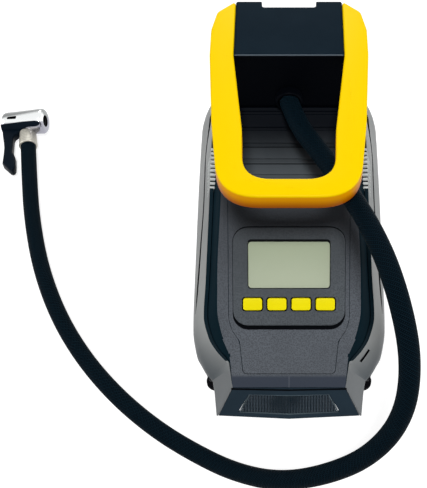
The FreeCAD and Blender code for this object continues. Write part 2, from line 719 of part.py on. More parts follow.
LAMP_HALF_HIGH = size("neck_half") - CHEEK_WALL - GAP
LAMP_HALF_LOW = size("nose_flare") - CHEEK_WALL - GAP
LENS_HIGH_HALF = LAMP_HALF_HIGH * 0.72
LENS_LOW_HALF = LAMP_HALF_LOW * 0.725
lamp_face = lamp_plate(0.02, 1.0, LAMP_HALF_HIGH, LAMP_HALF_LOW, 0.0, 3.0)
lamp_window = lamp_plate(0.24, 0.86, LENS_HIGH_HALF, LENS_LOW_HALF, -2.0, 8.0)
piece(shaped("LampBezel", lamp_face.cut(lamp_window)), "lamp_bezel")
LENS_FIT = 0.15
lens = lamp_plate(0.25, 0.85, LENS_HIGH_HALF - LENS_FIT, LENS_LOW_HALF - LENS_FIT, 0.5, 2.8)
piece(shaped("LampLens", lens), "lamp_lens")
reflector = lamp_plate(0.2, 0.92, LENS_HIGH_HALF, LENS_LOW_HALF, 3.1, 4.8)
cup = lamp_plate(0.26, 0.84, LENS_HIGH_HALF - 2.0, LENS_LOW_HALF - 2.0, 2.9, 4.0)
piece(shaped("LampReflector", reflector.cut(cup)), "lamp_reflector")
LED_COUNT = 5
LED_PITCH = 11.0
LED_DEEP = 2.3
LAMP_LEAN = math.degrees(math.atan2(size("nose_reach"), size("nose_rise") - size("nose_low")))
leds = []
for index in range(LED_COUNT):
    led = Part.makeBox(3.0, 0.3, 2.4, Vector(-1.5, LED_DEEP, -1.2))
    led.rotate(Vector(), Vector(1, 0, 0), -LAMP_LEAN)
    led.translate(lamp_point(0.55, (index - (LED_COUNT - 1) / 2) * LED_PITCH))
    leds.append(led)
piece(shaped("LampLeds", Part.makeCompound(leds)), "lamp_leds")

# Rubber feet, pushed up into the base shell
foot_shapes = []
for x, y in FOOT_PLACES:
    pad = soften(Part.makeCylinder(size("foot_radius"), FLOOR, Vector(x, y, 0)), 1.0,
                 lambda edge: edge.BoundBox.ZMax < 0.1)
    plug = Part.makeCylinder(1.95, WALL + 1.5, Vector(x, y, FLOOR))
    foot_shapes.append(pad.fuse(plug).removeSplitter())
piece(shaped("Feet", Part.makeCompound(foot_shapes)), "rubber_feet")

# Rear cover with cooling slots
COVER = 4.0
COVER_HALF = REAR_STATIONS[-1][3] - 1.0
COVER_BROW = (COVER_HALF, REAR_STATIONS[-1][4] - 1.0)
COVER_TOP = (REAR_STATIONS[-1][1], size("shelf_top") - 13.7)
cover_right = [(COVER_HALF, RIM + GAP), COVER_BROW, COVER_TOP]
cover_corners = [Vector(x, REAR, z) for x, z in both_sides(cover_right)]
cover = Part.Face(Part.makePolygon(cover_corners + cover_corners[:1])).extrude(Vector(0, COVER, 0))
SLOT_COUNT = 10
SLOT_PITCH = 5.2
cover_slots = []
for index in range(SLOT_COUNT):
    place = Vector(-27.0, REAR - 1.0, RIM + 12.0 + index * SLOT_PITCH)
    cover_slots.append(Part.makeBox(54.0, COVER + 2.0, 2.4, place))
piece(shaped("RearCover", cover.cut(cover_slots)), "rear_cover")

# Raised display plate with its window and button holes
bezel_blank = rounded_pad("BezelBlank", "bezel_half * 2", "bezel_high - bezel_low", "bezel_rise",
                          "bezel_corner", "corner_blend")
on_slope(bezel_blank, "0", "(bezel_high + bezel_low) / 2", "0")
GLASS_FIT = 0.2
window_hole = rounded_pad("WindowHole", "glass_wide + %g" % (2 * GLASS_FIT),
                          "glass_tall + %g" % (2 * GLASS_FIT), "bezel_rise + 2", "2")
on_slope(window_hole, "0", "glass_low + glass_tall / 2", "-1")
bezel_tools = [window_hole]
CAVITY = 1.4
bezel_tools.append(slope_block("BezelCavity", "-bezel_half + 6", "bezel_low + 6", "-1",
                               "2 * bezel_half - 12", "bezel_high - bezel_low - 12", "%g" % (1 + CAVITY)))
BUTTONS = ("power", "minus", "plus", "mode")
for index, label in enumerate(BUTTONS):
    hole = rounded_pad("ButtonHole%d" % index, "button_wide + 2 * button_gap",
                       "button_tall + 2 * button_gap", "bezel_rise + 2", "1.6 + button_gap")
    on_slope(hole, "%g * button_pitch" % (index - 1.5), "button_low + button_tall / 2", "-1")
    bezel_tools.append(hole)
piece(cut("Bezel", bezel_blank, *bezel_tools), "display_bezel")

glass = rounded_pad("Glass", "glass_wide", "glass_tall", "glass_thick", "1.8")
on_slope(glass, "0", "glass_low + glass_tall / 2", "bezel_rise - glass_sink - glass_thick")
piece(glass, "display_window")

LCD_DEEP = 5.6
lcd = slope_block(
    "Lcd", "-glass_wide / 2 - 2", "glass_low - 1.2",
    "bezel_rise - glass_sink - glass_thick - %g" % LCD_DEEP, "glass_wide + 4", "glass_tall + 2.4",
    "%g - bezel_rise + glass_sink + glass_thick" % (LCD_DEEP + CAVITY - 0.1))
piece(lcd, "lcd_module")

# Buttons: a cap, a flange that keeps it in the plate, and a stem over its switch
STEM_LOW = -0.7
for index, label in enumerate(BUTTONS):
    place = "%g * button_pitch" % (index - 1.5)
    cap = rounded_pad("Cap%d" % index, "button_wide", "button_tall", "bezel_rise + button_proud - 1",
                      "1.6", "0.6")
    on_slope(cap, place, "button_low + button_tall / 2", "1")
    flange = slope_block("Flange%d" % index, place + " - button_wide / 2 - 0.6", "button_low - 0.6", "0.1",
                         "button_wide + 1.2", "button_tall + 1.2", "1")
    stem = slope_rod("Stem%d" % index, place, "button_low + button_tall / 2", "%g" % STEM_LOW, "2",
                     "%g" % (0.4 - STEM_LOW))
    piece(fuse("Button%d" % index, cap, flange, stem), "button_" + label)

BOARD_TOP = -4.45
BOARD_THICK = 1.6
board = slope_block("Board", "-bezel_half + 4", "bezel_low + 4", "%g" % (BOARD_TOP - BOARD_THICK),
                    "2 * bezel_half - 8", "bezel_high - bezel_low - 8", "%g" % BOARD_THICK)
piece(board, "control_board")
switches = []
for index, label in enumerate(BUTTONS):
    place = "%g * button_pitch" % (index - 1.5)
    body = slope_block("SwitchBody%d" % index, place + " - 3", "button_low + button_tall / 2 - 3",
                       "%g" % BOARD_TOP, "6", "6", "1.6")
    tip = slope_rod("SwitchTip%d" % index, place, "button_low + button_tall / 2", "%g" % BOARD_TOP, "1.6",
                    "%g - button_travel - 0.3" % (STEM_LOW - BOARD_TOP))
    switches.append(fuse("Switch%d" % index, body, tip))
piece(group("Switches", *switches), "button_switches")
posts = []
for side in ("Left", "Right"):
    x = "-bezel_half + 5" if side == "Left" else "bezel_half - 5"
    for level, along in (("Low", "bezel_low + 7"), ("High", "bezel_high - 7")):
        posts.append(slope_rod("Post%s%s" % (side, level), x, along, "%g" % BOARD_TOP, "1",
                               "-wall - %g" % BOARD_TOP))
piece(group("BoardPosts", *posts), "board_spacers")

# Compressor. The crank turns about +Y; the piston runs along X towards the user's right
CRANK_X = -size("crank_side")
CRANK_Z = size("crank_rise")
MODULE = size("tooth_module")
PINION_TEETH = int(size("pinion_teeth"))
GEAR_TEETH = int(size("gear_teeth"))
CENTRES = MODULE * (PINION_TEETH + GEAR_TEETH) / 2 + 0.1
MOTOR_X = 0.0
MOTOR_Z = CRANK_Z + math.sqrt(max(CENTRES ** 2 - (MOTOR_X - CRANK_X) ** 2, 1.0))
MOTOR_Y = size("motor_front")
PLATE_Y = MOTOR_Y - 4.0
GEAR_Y = PLATE_Y - 1.0 - size("gear_wide")
ROD_Y = GEAR_Y - 5.3


def gear(teeth, width, bore, turned):
    """A spur gear about +Y with straight-sided teeth, standing at the origin."""
    root = MODULE * (teeth / 2 - 1.2)
    tip = MODULE * (teeth / 2 + 0.9)
    pitch_angle = 2 * math.pi / teeth
    corners = []
    for index in range(teeth):
        middle = index * pitch_angle + turned
        for radius, share in ((root, -0.30), (tip, -0.11), (tip, 0.11), (root, 0.30)):
            angle = middle + share * pitch_angle
            corners.append(Vector(radius * math.cos(angle), 0, radius * math.sin(angle)))
    disc = Part.Face(Part.makePolygon(corners + corners[:1])).extrude(Vector(0, width, 0))
    return disc.cut(Part.makeCylinder(bore, width + 2, Vector(0, -1, 0), Vector(0, 1, 0)))


MESH_ANGLE = math.atan2(MOTOR_Z - CRANK_Z, MOTOR_X - CRANK_X)
gear_shape = gear(GEAR_TEETH, size("gear_wide"), 3.95, MESH_ANGLE)
gear_shape.translate(Vector(CRANK_X, GEAR_Y, CRANK_Z))
piece(shaped("CrankGear", gear_shape), "crank_gear")
pinion_turn = MESH_ANGLE + math.pi + math.pi / PINION_TEETH
pinion_shape = gear(PINION_TEETH, size("gear_wide") + 1.0, size("shaft_radius"), pinion_turn)
pinion_shape.translate(Vector(MOTOR_X, GEAR_Y - 0.5, MOTOR_Z))
piece(shaped("Pinion", pinion_shape), "motor_pinion")
crank_shaft = rod("CrankShaftRod", "Y", "-crank_side", "%g" % GEAR_Y, "crank_rise", "3.95",
                  "%g" % (PLATE_Y + 6.0 - GEAR_Y))
piece(crank_shaft, "crank_shaft")

# Plate that carries the motor, the crank bearing and the cylinder
plate_blank = block("PlateBlank", "-crank_side - 14", "%g" % PLATE_Y, "rim_top + 1",
                    "crank_side + 38", "4", "%g - rim_top + 14" % MOTOR_Z)
crank_hole = rod("CrankHole", "Y", "-crank_side", "%g" % (PLATE_Y - 1), "crank_rise", "7", "6")
boss_hole = rod("MotorBossHole", "Y", "%g" % MOTOR_X, "%g" % (PLATE_Y - 1), "%g" % MOTOR_Z, "8", "6")
cylinder_seat = rod("CylinderSeat", "X", "rod_long - crank_side - crank_throw - 10",
                    "%g" % (ROD_Y + 2.0), "crank_rise", "bore_radius + liner_wall + gap", "60")
piece(cut("GearPlate", plate_blank, crank_hole, boss_hole, cylinder_seat), "gear_plate")
bearing = cut(
    "CrankBearingRing",
    rod("BearingOuter", "Y", "-crank_side", "%g" % PLATE_Y, "crank_rise", "7", "4"),
    rod("BearingInner", "Y", "-crank_side", "%g" % (PLATE_Y - 1), "crank_rise", "4", "6"))
piece(bearing, "crank_bearing")

# Motor: a can, its shaft, a pinion in front and a fan behind
can = rod("CanOuter", "Y", "%g" % MOTOR_X, "motor_front", "%g" % MOTOR_Z, "motor_radius", "motor_long")
can_hollow = rod("CanHollow", "Y", "%g" % MOTOR_X, "motor_front + 2", "%g" % MOTOR_Z, "motor_radius - 2",
                 "motor_long - 4")
shaft_hole = rod("ShaftHole", "Y", "%g" % MOTOR_X, "motor_front - 9", "%g" % MOTOR_Z, "shaft_radius + 0.05",
                 "motor_long + 40")
front_boss = rod("FrontBoss", "Y", "%g" % MOTOR_X, "%g" % PLATE_Y, "%g" % MOTOR_Z, "8",
                 "motor_front - %g" % PLATE_Y)
piece(cut("MotorCan", fuse("CanAndBoss", can, front_boss), can_hollow, shaft_hole), "motor_can")
SHAFT_Y = GEAR_Y - 1.5
armature = fuse(
    "ShaftAndCore",
    rod("MotorShaftRod", "Y", "%g" % MOTOR_X, "%g" % SHAFT_Y, "%g" % MOTOR_Z, "shaft_radius",
        "motor_front + motor_long + 10 - %g" % SHAFT_Y),
    rod("ArmatureCore", "Y", "%g" % MOTOR_X, "motor_front + 10", "%g" % MOTOR_Z, "motor_radius - 7",
        "motor_long - 24"))
piece(armature, "motor_armature")
magnets = cut(
    "MagnetRing",
    rod("MagnetOuter", "Y", "%g" % MOTOR_X, "motor_front + 8", "%g" % MOTOR_Z, "motor_radius - 2",
        "motor_long - 20"),
    rod("MagnetInner", "Y", "%g" % MOTOR_X, "motor_front + 7", "%g" % MOTOR_Z, "motor_radius - 6",
        "motor_long - 18"))
piece(magnets, "motor_magnets")
FAN_Y = size("motor_front") + size("motor_long") + 2.0
fan_hub = Part.makeCylinder(6.0, 6.0, Vector(MOTOR_X, FAN_Y, MOTOR_Z), Vector(0, 1, 0))
fan_bore = Part.makeCylinder(
    size("shaft_radius"), 10.0, Vector(MOTOR_X, FAN_Y - 1, MOTOR_Z), Vector(0, 1, 0))
blade_shapes = []
for index in range(7):
    blade = Part.makeBox(15.0, 5.0, 1.6, Vector(4.5, 0.5, -0.8))
    blade.rotate(Vector(), Vector(1, 0, 0), 38)
    blade.rotate(Vector(), Vector(0, 1, 0), index * 360.0 / 7)
    blade.translate(Vector(MOTOR_X, FAN_Y + 1.5, MOTOR_Z))
    blade_shapes.append(blade)
piece(shaped("Fan", fan_hub.fuse(blade_shapes).cut(fan_bore)), "cooling_fan")

# Piston, its rod and pins. They move together along the cylinder; the crank pin stops clear of the gear
ROD_THICK = 4.0
AXIS_Y = ROD_Y + ROD_THICK / 2
PIN_X = CRANK_X - size("crank_throw")
WRIST_X = PIN_X + size("rod_long")
BORE = size("bore_radius")
LINER = BORE + size("liner_wall")
STROKE = 2 * size("crank_throw")


def lateral(x, z, radius, start, end):
    """A cylinder along +Y between two depths."""
    return Part.makeCylinder(radius, end - start, Vector(x, start, z), Vector(0, 1, 0))


def lengthwise(y, z, radius, start, end):
    """A cylinder along +X between two places."""
    return Part.makeCylinder(radius, end - start, Vector(start, y, z), Vector(1, 0, 0))


PIN_RADIUS = 2.5
WRIST_RADIUS = 2.0
rod_eyes = [
    lateral(WRIST_X, CRANK_Z, 3.8, ROD_Y, ROD_Y + ROD_THICK),
    Part.makeBox(WRIST_X - PIN_X, ROD_THICK, 5.0, Vector(PIN_X, ROD_Y, CRANK_Z - 2.5)),
]
rod_holes = [
    lateral(PIN_X, CRANK_Z, PIN_RADIUS, ROD_Y - 1, ROD_Y + 9),
    lateral(WRIST_X, CRANK_Z, WRIST_RADIUS, ROD_Y - 1, ROD_Y + 9),
]
rod_shape = lateral(PIN_X, CRANK_Z, 5.5, ROD_Y, ROD_Y + ROD_THICK).fuse(rod_eyes).cut(rod_holes)
piece(shaped("ConnectingRod", rod_shape), "connecting_rod")
piece(shaped("CrankPin", lateral(PIN_X, CRANK_Z, PIN_RADIUS, ROD_Y - 1.5, GEAR_Y - GAP)), "crank_pin")
wrist_pin = lateral(WRIST_X, CRANK_Z, WRIST_RADIUS, AXIS_Y - BORE + 3.0, AXIS_Y + BORE - 3.0)
piece(shaped("WristPin", wrist_pin), "wrist_pin")
PISTON_START = WRIST_X - 2.5
PISTON_END = PISTON_START + 10.0
piston_shape = lengthwise(AXIS_Y, CRANK_Z, BORE - 0.05, PISTON_START, PISTON_END).cut([
    Part.makeBox(8.0, ROD_THICK + 0.6, 10.0, Vector(PISTON_START - 1.0, ROD_Y - 0.3, CRANK_Z - 5.0)),
    lateral(WRIST_X, CRANK_Z, WRIST_RADIUS, AXIS_Y - BORE, AXIS_Y + BORE),
])
piece(shaped("Piston", piston_shape), "piston")
LINER_START = WRIST_X - 3.0
LINER_END = PISTON_END + STROKE + 1.0
FLANGE = 2 * LINER + 2
FLANGE_CORNER = Vector(LINER_END, AXIS_Y - LINER - 1, CRANK_Z - LINER - 1)
HEAD_LONG = 8.0
BOLT_RADIUS = 1.5
liner = lengthwise(AXIS_Y, CRANK_Z, LINER, LINER_START, LINER_END).fuse(
    Part.makeBox(4.0, FLANGE, FLANGE, FLANGE_CORNER - Vector(4.0, 0, 0)))
liner = liner.cut(lengthwise(AXIS_Y, CRANK_Z, BORE, LINER_START - 1, LINER_END + 1))
BOLT_PLACES = [(AXIS_Y + a * (LINER - 1.4), CRANK_Z + b * (LINER - 1.4)) for a in (-1, 1) for b in (-1, 1)]
bolt_holes = [lengthwise(y, z, BOLT_RADIUS, LINER_START - 5, LINER_END + 9) for y, z in BOLT_PLACES]
piece(shaped("CylinderLiner", liner.cut(bolt_holes)), "cylinder")
head = Part.makeBox(HEAD_LONG, FLANGE, FLANGE, FLANGE_CORNER)
fin_gaps = []
for index in range(5):
    fin_gap = Part.makeBox(4.5, 1.6, FLANGE + 2, FLANGE_CORNER + Vector(4.5, 3.2 + 4.0 * index, -1))
    fin_gaps.append(fin_gap)
piece(shaped("CylinderHead", head.cut(bolt_holes + fin_gaps)), "cylinder_head")
bolt_shapes = []
for y, z in BOLT_PLACES:
    bolt = lengthwise(y, z, BOLT_RADIUS, LINER_END - 5.5, LINER_END + HEAD_LONG).fuse(
        lengthwise(y, z, 2.6, LINER_END + HEAD_LONG, LINER_END + HEAD_LONG + 1.6))
    bolt_shapes.append(bolt.removeSplitter())
piece(shaped("HeadBolts", Part.makeCompound(bolt_shapes)), "head_bolts")
HEAD_TOP = CRANK_Z + LINER + 1.0
TUBE_X = LINER_END + 2.75
sensor = Part.makeBox(4.0, 6.0, 7.0, Vector(LINER_END + 0.5, AXIS_Y - LINER, HEAD_TOP))
piece(shaped("PressureSensor", sensor), "pressure_sensor")


def route_radii(points):
    """Radius of the arc at each corner of a route."""
    radii = [0.0]
    for before, corner, after in zip(points, points[1:], points[2:]):
        shorter = min((corner - before).Length, (after - corner).Length)
        turn = (corner - before).getAngle(after - corner)
        radii.append(0.45 * shorter / math.tan(turn / 2))
    return radii + [0.0]


def tube(points, radius):
    """A round bar along straight runs and tangent arcs."""
    radii = route_radii(points)
    path = rounded_wire(list(zip(points, radii)), False)
    start = (points[1] - points[0]).normalize()
    ring = Part.Wire([Part.makeCircle(radius, points[0], start)])
    return path.makePipeShell([ring], True, False), path, radii


SOCKET_Z = size("hose_rise")
HOSE_TILT_ROOM = 1.65
SOCKET_BACK = FRONT + 12.0
air_points = [
    Vector(TUBE_X, AXIS_Y + 4.0, HEAD_TOP), Vector(TUBE_X, AXIS_Y + 4.0, HEAD_TOP + 32.0),
    Vector(18.0, AXIS_Y + 26.0, SOCKET_Z - 40.0), Vector(0.0, SOCKET_BACK + 16.0, SOCKET_Z - 14.0),
    Vector(0.0, SOCKET_BACK + 14.0, SOCKET_Z), Vector(0.0, SOCKET_BACK, SOCKET_Z),
]
air_tube, air_path, air_radii = tube(air_points, 2.0)
piece(shaped("AirTube", air_tube), "air_tube")

# Hose socket in the tower's front
HOSE = size("hose_radius")
HOSE_START = FRONT - size("socket_proud") + 3.0
COLLAR_FRONT = FRONT - size("socket_proud")
socket = lateral(0, SOCKET_Z, size("socket_radius"), COLLAR_FRONT, FRONT)
socket = soften(socket, 1.2, lambda edge: edge.BoundBox.YMax < COLLAR_FRONT + 0.01)
socket = socket.fuse(lateral(0, SOCKET_Z, SOCKET_NECK, FRONT, SOCKET_BACK)).removeSplitter()
socket = socket.cut(lateral(0, SOCKET_Z, HOSE + 0.9, FRONT - 20, HOSE_START))
piece(shaped("HoseSocket", socket), "hose_socket")

# Hose: out of the socket, under the corner of the handle's bar, down to the floor and round to the chuck
CHUCK_Z = size("chuck_radius")
hose_points = [
    Vector(0.0, HOSE_START - HOSE_TILT_ROOM, SOCKET_Z), Vector(6.0, 5.0, 169.5), Vector(18.0, -18.0, 173.5),
    Vector(34.0, -52.0, 179.5), Vector(52.6, -97.0, 184.0), Vector(64.0, -133.0, 174.0),
    Vector(71.0, -160.0, 149.0), Vector(68.0, -179.0, 116.0), Vector(50.0, -190.0, 85.0),
    Vector(22.0, -192.0, 58.0), Vector(-8.0, -187.0, 34.0), Vector(-38.0, -172.5, 14.0),
    Vector(-66.0, -156.0, HOSE), Vector(-95.0, -138.0, HOSE), Vector(-125.0, -113.0, HOSE),
    Vector(-153.0, -82.0, HOSE), Vector(-177.5, -45.0, HOSE), Vector(-197.5, -1.0, HOSE),
    Vector(-211.5, 46.0, HOSE),
    Vector(-219.7, 88.0, CHUCK_Z), Vector(-226.6, 126.5, CHUCK_Z),
]
hose, hose_path, hose_radii = tube(hose_points, HOSE)
piece(shaped("Hose", hose), "air_hose")
print("hose length %.1f, volume over section times length %.4f, least radius %.1f" % (
    hose_path.Length, hose.Volume / (hose_path.Length * math.pi * HOSE ** 2), min(hose_radii[1:-1])))
print("hose radii", [round(radius) for radius in hose_radii[1:-1]])

# Chuck: ferrule, barrel with its mouth, saddle, and a thumb lever on a pin, in the frame of the hose's end
last_run = hose_points[-1] - hose_points[-2]
CHUCK_TURN = math.degrees(math.atan2(-last_run.x, last_run.y))
CHUCK_PLACE = Placement(hose_points[-1], Rotation(Vector(0, 0, 1), CHUCK_TURN))
FERRULE = size("ferrule_long")
SADDLE = 2.4
BARREL = size("chuck_radius")
BARREL_Y = FERRULE + BARREL + 1.2
BARREL_START = -size("chuck_long") + 16.0
BARREL_END = 16.0
ferrule = Part.makeCone(HOSE + 1.0, HOSE - 0.6, 5.0, Vector(0, 0, 0), Vector(0, 1, 0)).fuse(
    Part.makeCylinder(size("ferrule_radius"), FERRULE - 5.0, Vector(0, 5.0, 0), Vector(0, 1, 0)))
piece(shaped("Ferrule", ferrule.removeSplitter(), CHUCK_PLACE), "hose_ferrule")
barrel = lengthwise(BARREL_Y, 0, BARREL, BARREL_START, BARREL_END)
barrel = soften(barrel, 1.4, lambda edge: edge.BoundBox.XLength < 0.01)
PIVOT = Vector(BARREL_START + 5.0, BARREL_Y - 3.5, 0)
SLOT_HALF = 2.8
MOUTH_WALL = 2.0
SADDLE_START = BARREL_START + 11.6
SEAL_START = BARREL_END - size("mouth_deep")
SEAL_RADIUS = size("mouth_radius") + MOUTH_WALL
slot = Part.makeBox(
    11.6, 13.0, 2 * SLOT_HALF, Vector(BARREL_START - 1.0, BARREL_Y - BARREL - 1, -SLOT_HALF))
saddle = Part.makeBox(
    BARREL_END - 3.0 - SADDLE_START, SADDLE + 0.6, 7.0, Vector(SADDLE_START, FERRULE, -3.5))
mouth_seat = lengthwise(BARREL_Y, 0, SEAL_RADIUS, SEAL_START, BARREL_END + 1)
throat = lengthwise(BARREL_Y, 0, 2.0, BARREL_END - 20.0, BARREL_END)
pin_hole = Part.makeCylinder(size("pin_radius"), 40.0, Vector(PIVOT.x, PIVOT.y, -20.0))
barrel = barrel.cut([slot, saddle, mouth_seat, throat, pin_hole])
piece(shaped("ChuckBarrel", barrel, CHUCK_PLACE), "chuck_barrel")
piece(shaped("ChuckSaddle", saddle, CHUCK_PLACE), "chuck_saddle")
seal = lengthwise(BARREL_Y, 0, SEAL_RADIUS, SEAL_START, BARREL_END)
seal_bore = lengthwise(BARREL_Y, 0, size("mouth_radius"), SEAL_START - 1, BARREL_END + 1)
piece(shaped("ChuckSeal", seal.cut(seal_bore), CHUCK_PLACE), "chuck_seal")
pin_shape = Part.makeCylinder(size("pin_radius"), 15.0, Vector(PIVOT.x, PIVOT.y, -7.5))
piece(shaped("LeverPin", pin_shape, CHUCK_PLACE), "lever_pin")
LEVER = size("lever_long")
REACH = size("lever_wide") / 2
lever_outline = [
    (-REACH, -8.2), (-REACH + 0.9, -15.0), (-REACH + 1.6, -24.0), (-REACH + 0.6, -LEVER + 6.0),
    (REACH - 3.0, -LEVER), (REACH - 0.2, -LEVER), (REACH, -LEVER + 12.0), (REACH - 1.6, -25.0),
    (REACH - 1.0, -14.0), (REACH, -8.2),
]
arm = column([(PIVOT.x + x, PIVOT.y + y) for x, y in lever_outline], -4.0, 4.0)
arm = soften(arm, 1.0, lambda edge: edge.BoundBox.ZLength < 0.01)
neck = Part.makeBox(9.0, 10.0, 5.0, Vector(PIVOT.x - 4.5, PIVOT.y - 10.0, -2.5)).fuse(
    Part.makeCylinder(4.5, 5.0, Vector(PIVOT.x, PIVOT.y, -2.5)))
lever = arm.fuse(neck).removeSplitter().cut(
    Part.makeCylinder(size("pin_radius") + 0.05, 20.0, Vector(PIVOT.x, PIVOT.y, -10.0)))
piece(shaped("ChuckLever", lever, CHUCK_PLACE), "chuck_lever")
pivot_place = CHUCK_PLACE.multVec(PIVOT)
mouth_place = CHUCK_PLACE.multVec(Vector(BARREL_END - size("mouth_deep") / 2, BARREL_Y, 0))
print("lever pivot", pivot_place, "mouth", mouth_place, "chuck turn %.3f" % CHUCK_TURN)

# Board that drives the motor, on spacers over the base
BOARD_Z = FLOOR + WALL + 4.0
power_board = Part.makeBox(64.0, 60.0, 1.6, Vector(-32.0, -72.0, BOARD_Z))
COMPONENTS = ((-26, -66, 16, 12, 9), (-4, -64, 10, 10, 14), (12, -60, 14, 22, 8))
for x, y, wide, deep, tall in COMPONENTS:
    power_board = power_board.fuse(Part.makeBox(wide, deep, tall, Vector(x, y, BOARD_Z + 1.6)))
piece(shaped("PowerBoard", power_board.removeSplitter()), "power_board")
spacers = []
for x, y in ((-28.0, -68.0), (28.0, -68.0), (-28.0, -16.0), (28.0, -16.0)):
    spacers.append(Part.makeCylinder(2.5, 4.0, Vector(x, y, FLOOR + WALL)))
piece(shaped("PowerBoardSpacers", Part.makeCompound(spacers)), "power_board_spacers")

# Screws that close the housing from below
screw_shapes = []
for x, y in BOSS_PLACES:
    screw = Part.makeCylinder(3.0, 2.4, Vector(x, y, FLOOR + 0.6)).fuse(
        Part.makeCylinder(1.55, 8.0, Vector(x, y, FLOOR + 3.0)))
    screw_shapes.append(screw.removeSplitter())
piece(shaped("HousingScrews", Part.makeCompound(screw_shapes)), "housing_screws")

doc.recompute()
faults = [thing.Name for thing in doc.Objects if "Invalid" in thing.State or "Error" in thing.State]
for thing in PIECES:
    if thing.Shape.isNull() or not thing.Shape.isValid() or not thing.Shape.Solids:
        faults.append(thing.Label)
if faults:
    raise RuntimeError("these objects failed: " + ", ".join(faults))
for thing in PIECES:
    thing.Shape.exportStep("parts/%s.step" % thing.Label)
print(len(PIECES), "sub-parts written")
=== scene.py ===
"""Looks of the portable tire inflator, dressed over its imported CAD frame.

Metres, in the frame of the part: +Z up, the display faces -Y, +X is the user's right.
"""

import json
import math
from functools import partialmethod

import bpy
from mathutils import Matrix, Vector
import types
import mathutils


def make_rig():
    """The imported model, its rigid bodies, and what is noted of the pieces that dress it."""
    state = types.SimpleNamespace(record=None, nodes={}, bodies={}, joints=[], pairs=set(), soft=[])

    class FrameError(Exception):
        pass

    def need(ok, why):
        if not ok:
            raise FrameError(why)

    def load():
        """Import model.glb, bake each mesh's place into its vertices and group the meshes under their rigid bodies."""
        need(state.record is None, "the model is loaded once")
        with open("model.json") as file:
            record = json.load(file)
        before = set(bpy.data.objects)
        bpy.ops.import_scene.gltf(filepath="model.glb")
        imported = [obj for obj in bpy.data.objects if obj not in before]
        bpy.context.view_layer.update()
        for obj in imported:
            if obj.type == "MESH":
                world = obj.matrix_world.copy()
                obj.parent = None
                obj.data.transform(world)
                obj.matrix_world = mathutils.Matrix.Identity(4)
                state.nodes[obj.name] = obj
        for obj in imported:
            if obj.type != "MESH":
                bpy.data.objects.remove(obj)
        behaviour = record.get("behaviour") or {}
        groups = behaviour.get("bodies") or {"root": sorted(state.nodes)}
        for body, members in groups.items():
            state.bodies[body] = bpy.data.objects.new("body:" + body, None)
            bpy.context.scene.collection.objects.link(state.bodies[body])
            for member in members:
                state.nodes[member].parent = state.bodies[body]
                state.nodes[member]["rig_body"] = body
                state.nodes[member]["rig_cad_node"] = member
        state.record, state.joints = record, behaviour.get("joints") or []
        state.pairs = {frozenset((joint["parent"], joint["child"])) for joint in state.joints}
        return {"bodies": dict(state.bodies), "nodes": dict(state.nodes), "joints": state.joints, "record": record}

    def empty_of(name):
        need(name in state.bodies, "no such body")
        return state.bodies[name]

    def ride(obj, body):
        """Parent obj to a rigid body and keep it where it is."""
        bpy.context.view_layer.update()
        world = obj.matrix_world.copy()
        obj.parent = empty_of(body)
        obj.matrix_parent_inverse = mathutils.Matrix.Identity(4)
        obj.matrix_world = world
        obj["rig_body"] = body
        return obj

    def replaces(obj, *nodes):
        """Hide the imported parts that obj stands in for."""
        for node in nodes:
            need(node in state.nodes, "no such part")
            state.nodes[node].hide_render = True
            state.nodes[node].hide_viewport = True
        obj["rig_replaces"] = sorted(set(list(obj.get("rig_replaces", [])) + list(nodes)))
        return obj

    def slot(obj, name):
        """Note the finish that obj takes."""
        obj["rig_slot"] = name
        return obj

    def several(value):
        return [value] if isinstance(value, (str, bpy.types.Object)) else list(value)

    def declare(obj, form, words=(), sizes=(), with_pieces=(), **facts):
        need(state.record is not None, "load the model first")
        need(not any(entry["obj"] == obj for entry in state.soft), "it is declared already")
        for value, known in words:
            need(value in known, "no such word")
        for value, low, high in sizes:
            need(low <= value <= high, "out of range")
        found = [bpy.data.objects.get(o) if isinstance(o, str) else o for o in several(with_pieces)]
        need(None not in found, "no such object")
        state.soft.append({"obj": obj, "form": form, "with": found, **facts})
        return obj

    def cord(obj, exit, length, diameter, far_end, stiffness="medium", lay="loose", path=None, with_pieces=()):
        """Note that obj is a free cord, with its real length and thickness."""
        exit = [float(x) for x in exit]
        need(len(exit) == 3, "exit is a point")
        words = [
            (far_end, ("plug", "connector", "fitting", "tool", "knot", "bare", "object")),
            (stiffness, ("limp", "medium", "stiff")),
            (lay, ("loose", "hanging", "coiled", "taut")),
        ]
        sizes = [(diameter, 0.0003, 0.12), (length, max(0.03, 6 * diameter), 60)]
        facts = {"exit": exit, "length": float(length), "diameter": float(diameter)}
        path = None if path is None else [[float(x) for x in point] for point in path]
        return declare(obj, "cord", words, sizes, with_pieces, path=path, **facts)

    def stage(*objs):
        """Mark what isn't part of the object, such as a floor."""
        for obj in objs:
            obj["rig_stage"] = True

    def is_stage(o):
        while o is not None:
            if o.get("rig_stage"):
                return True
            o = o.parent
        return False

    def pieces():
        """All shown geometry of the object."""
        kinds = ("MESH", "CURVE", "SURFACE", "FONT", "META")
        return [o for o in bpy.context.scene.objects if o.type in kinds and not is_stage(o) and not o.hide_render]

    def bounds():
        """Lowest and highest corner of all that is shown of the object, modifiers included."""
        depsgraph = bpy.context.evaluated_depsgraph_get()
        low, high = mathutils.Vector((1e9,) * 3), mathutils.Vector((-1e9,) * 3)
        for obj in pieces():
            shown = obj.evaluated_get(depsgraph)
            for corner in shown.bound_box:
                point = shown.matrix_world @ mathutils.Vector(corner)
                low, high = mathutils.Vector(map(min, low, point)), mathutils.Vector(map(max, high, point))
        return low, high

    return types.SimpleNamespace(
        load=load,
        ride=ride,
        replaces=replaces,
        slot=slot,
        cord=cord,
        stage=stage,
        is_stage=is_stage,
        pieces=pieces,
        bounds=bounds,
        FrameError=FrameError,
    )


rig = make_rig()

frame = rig.load()
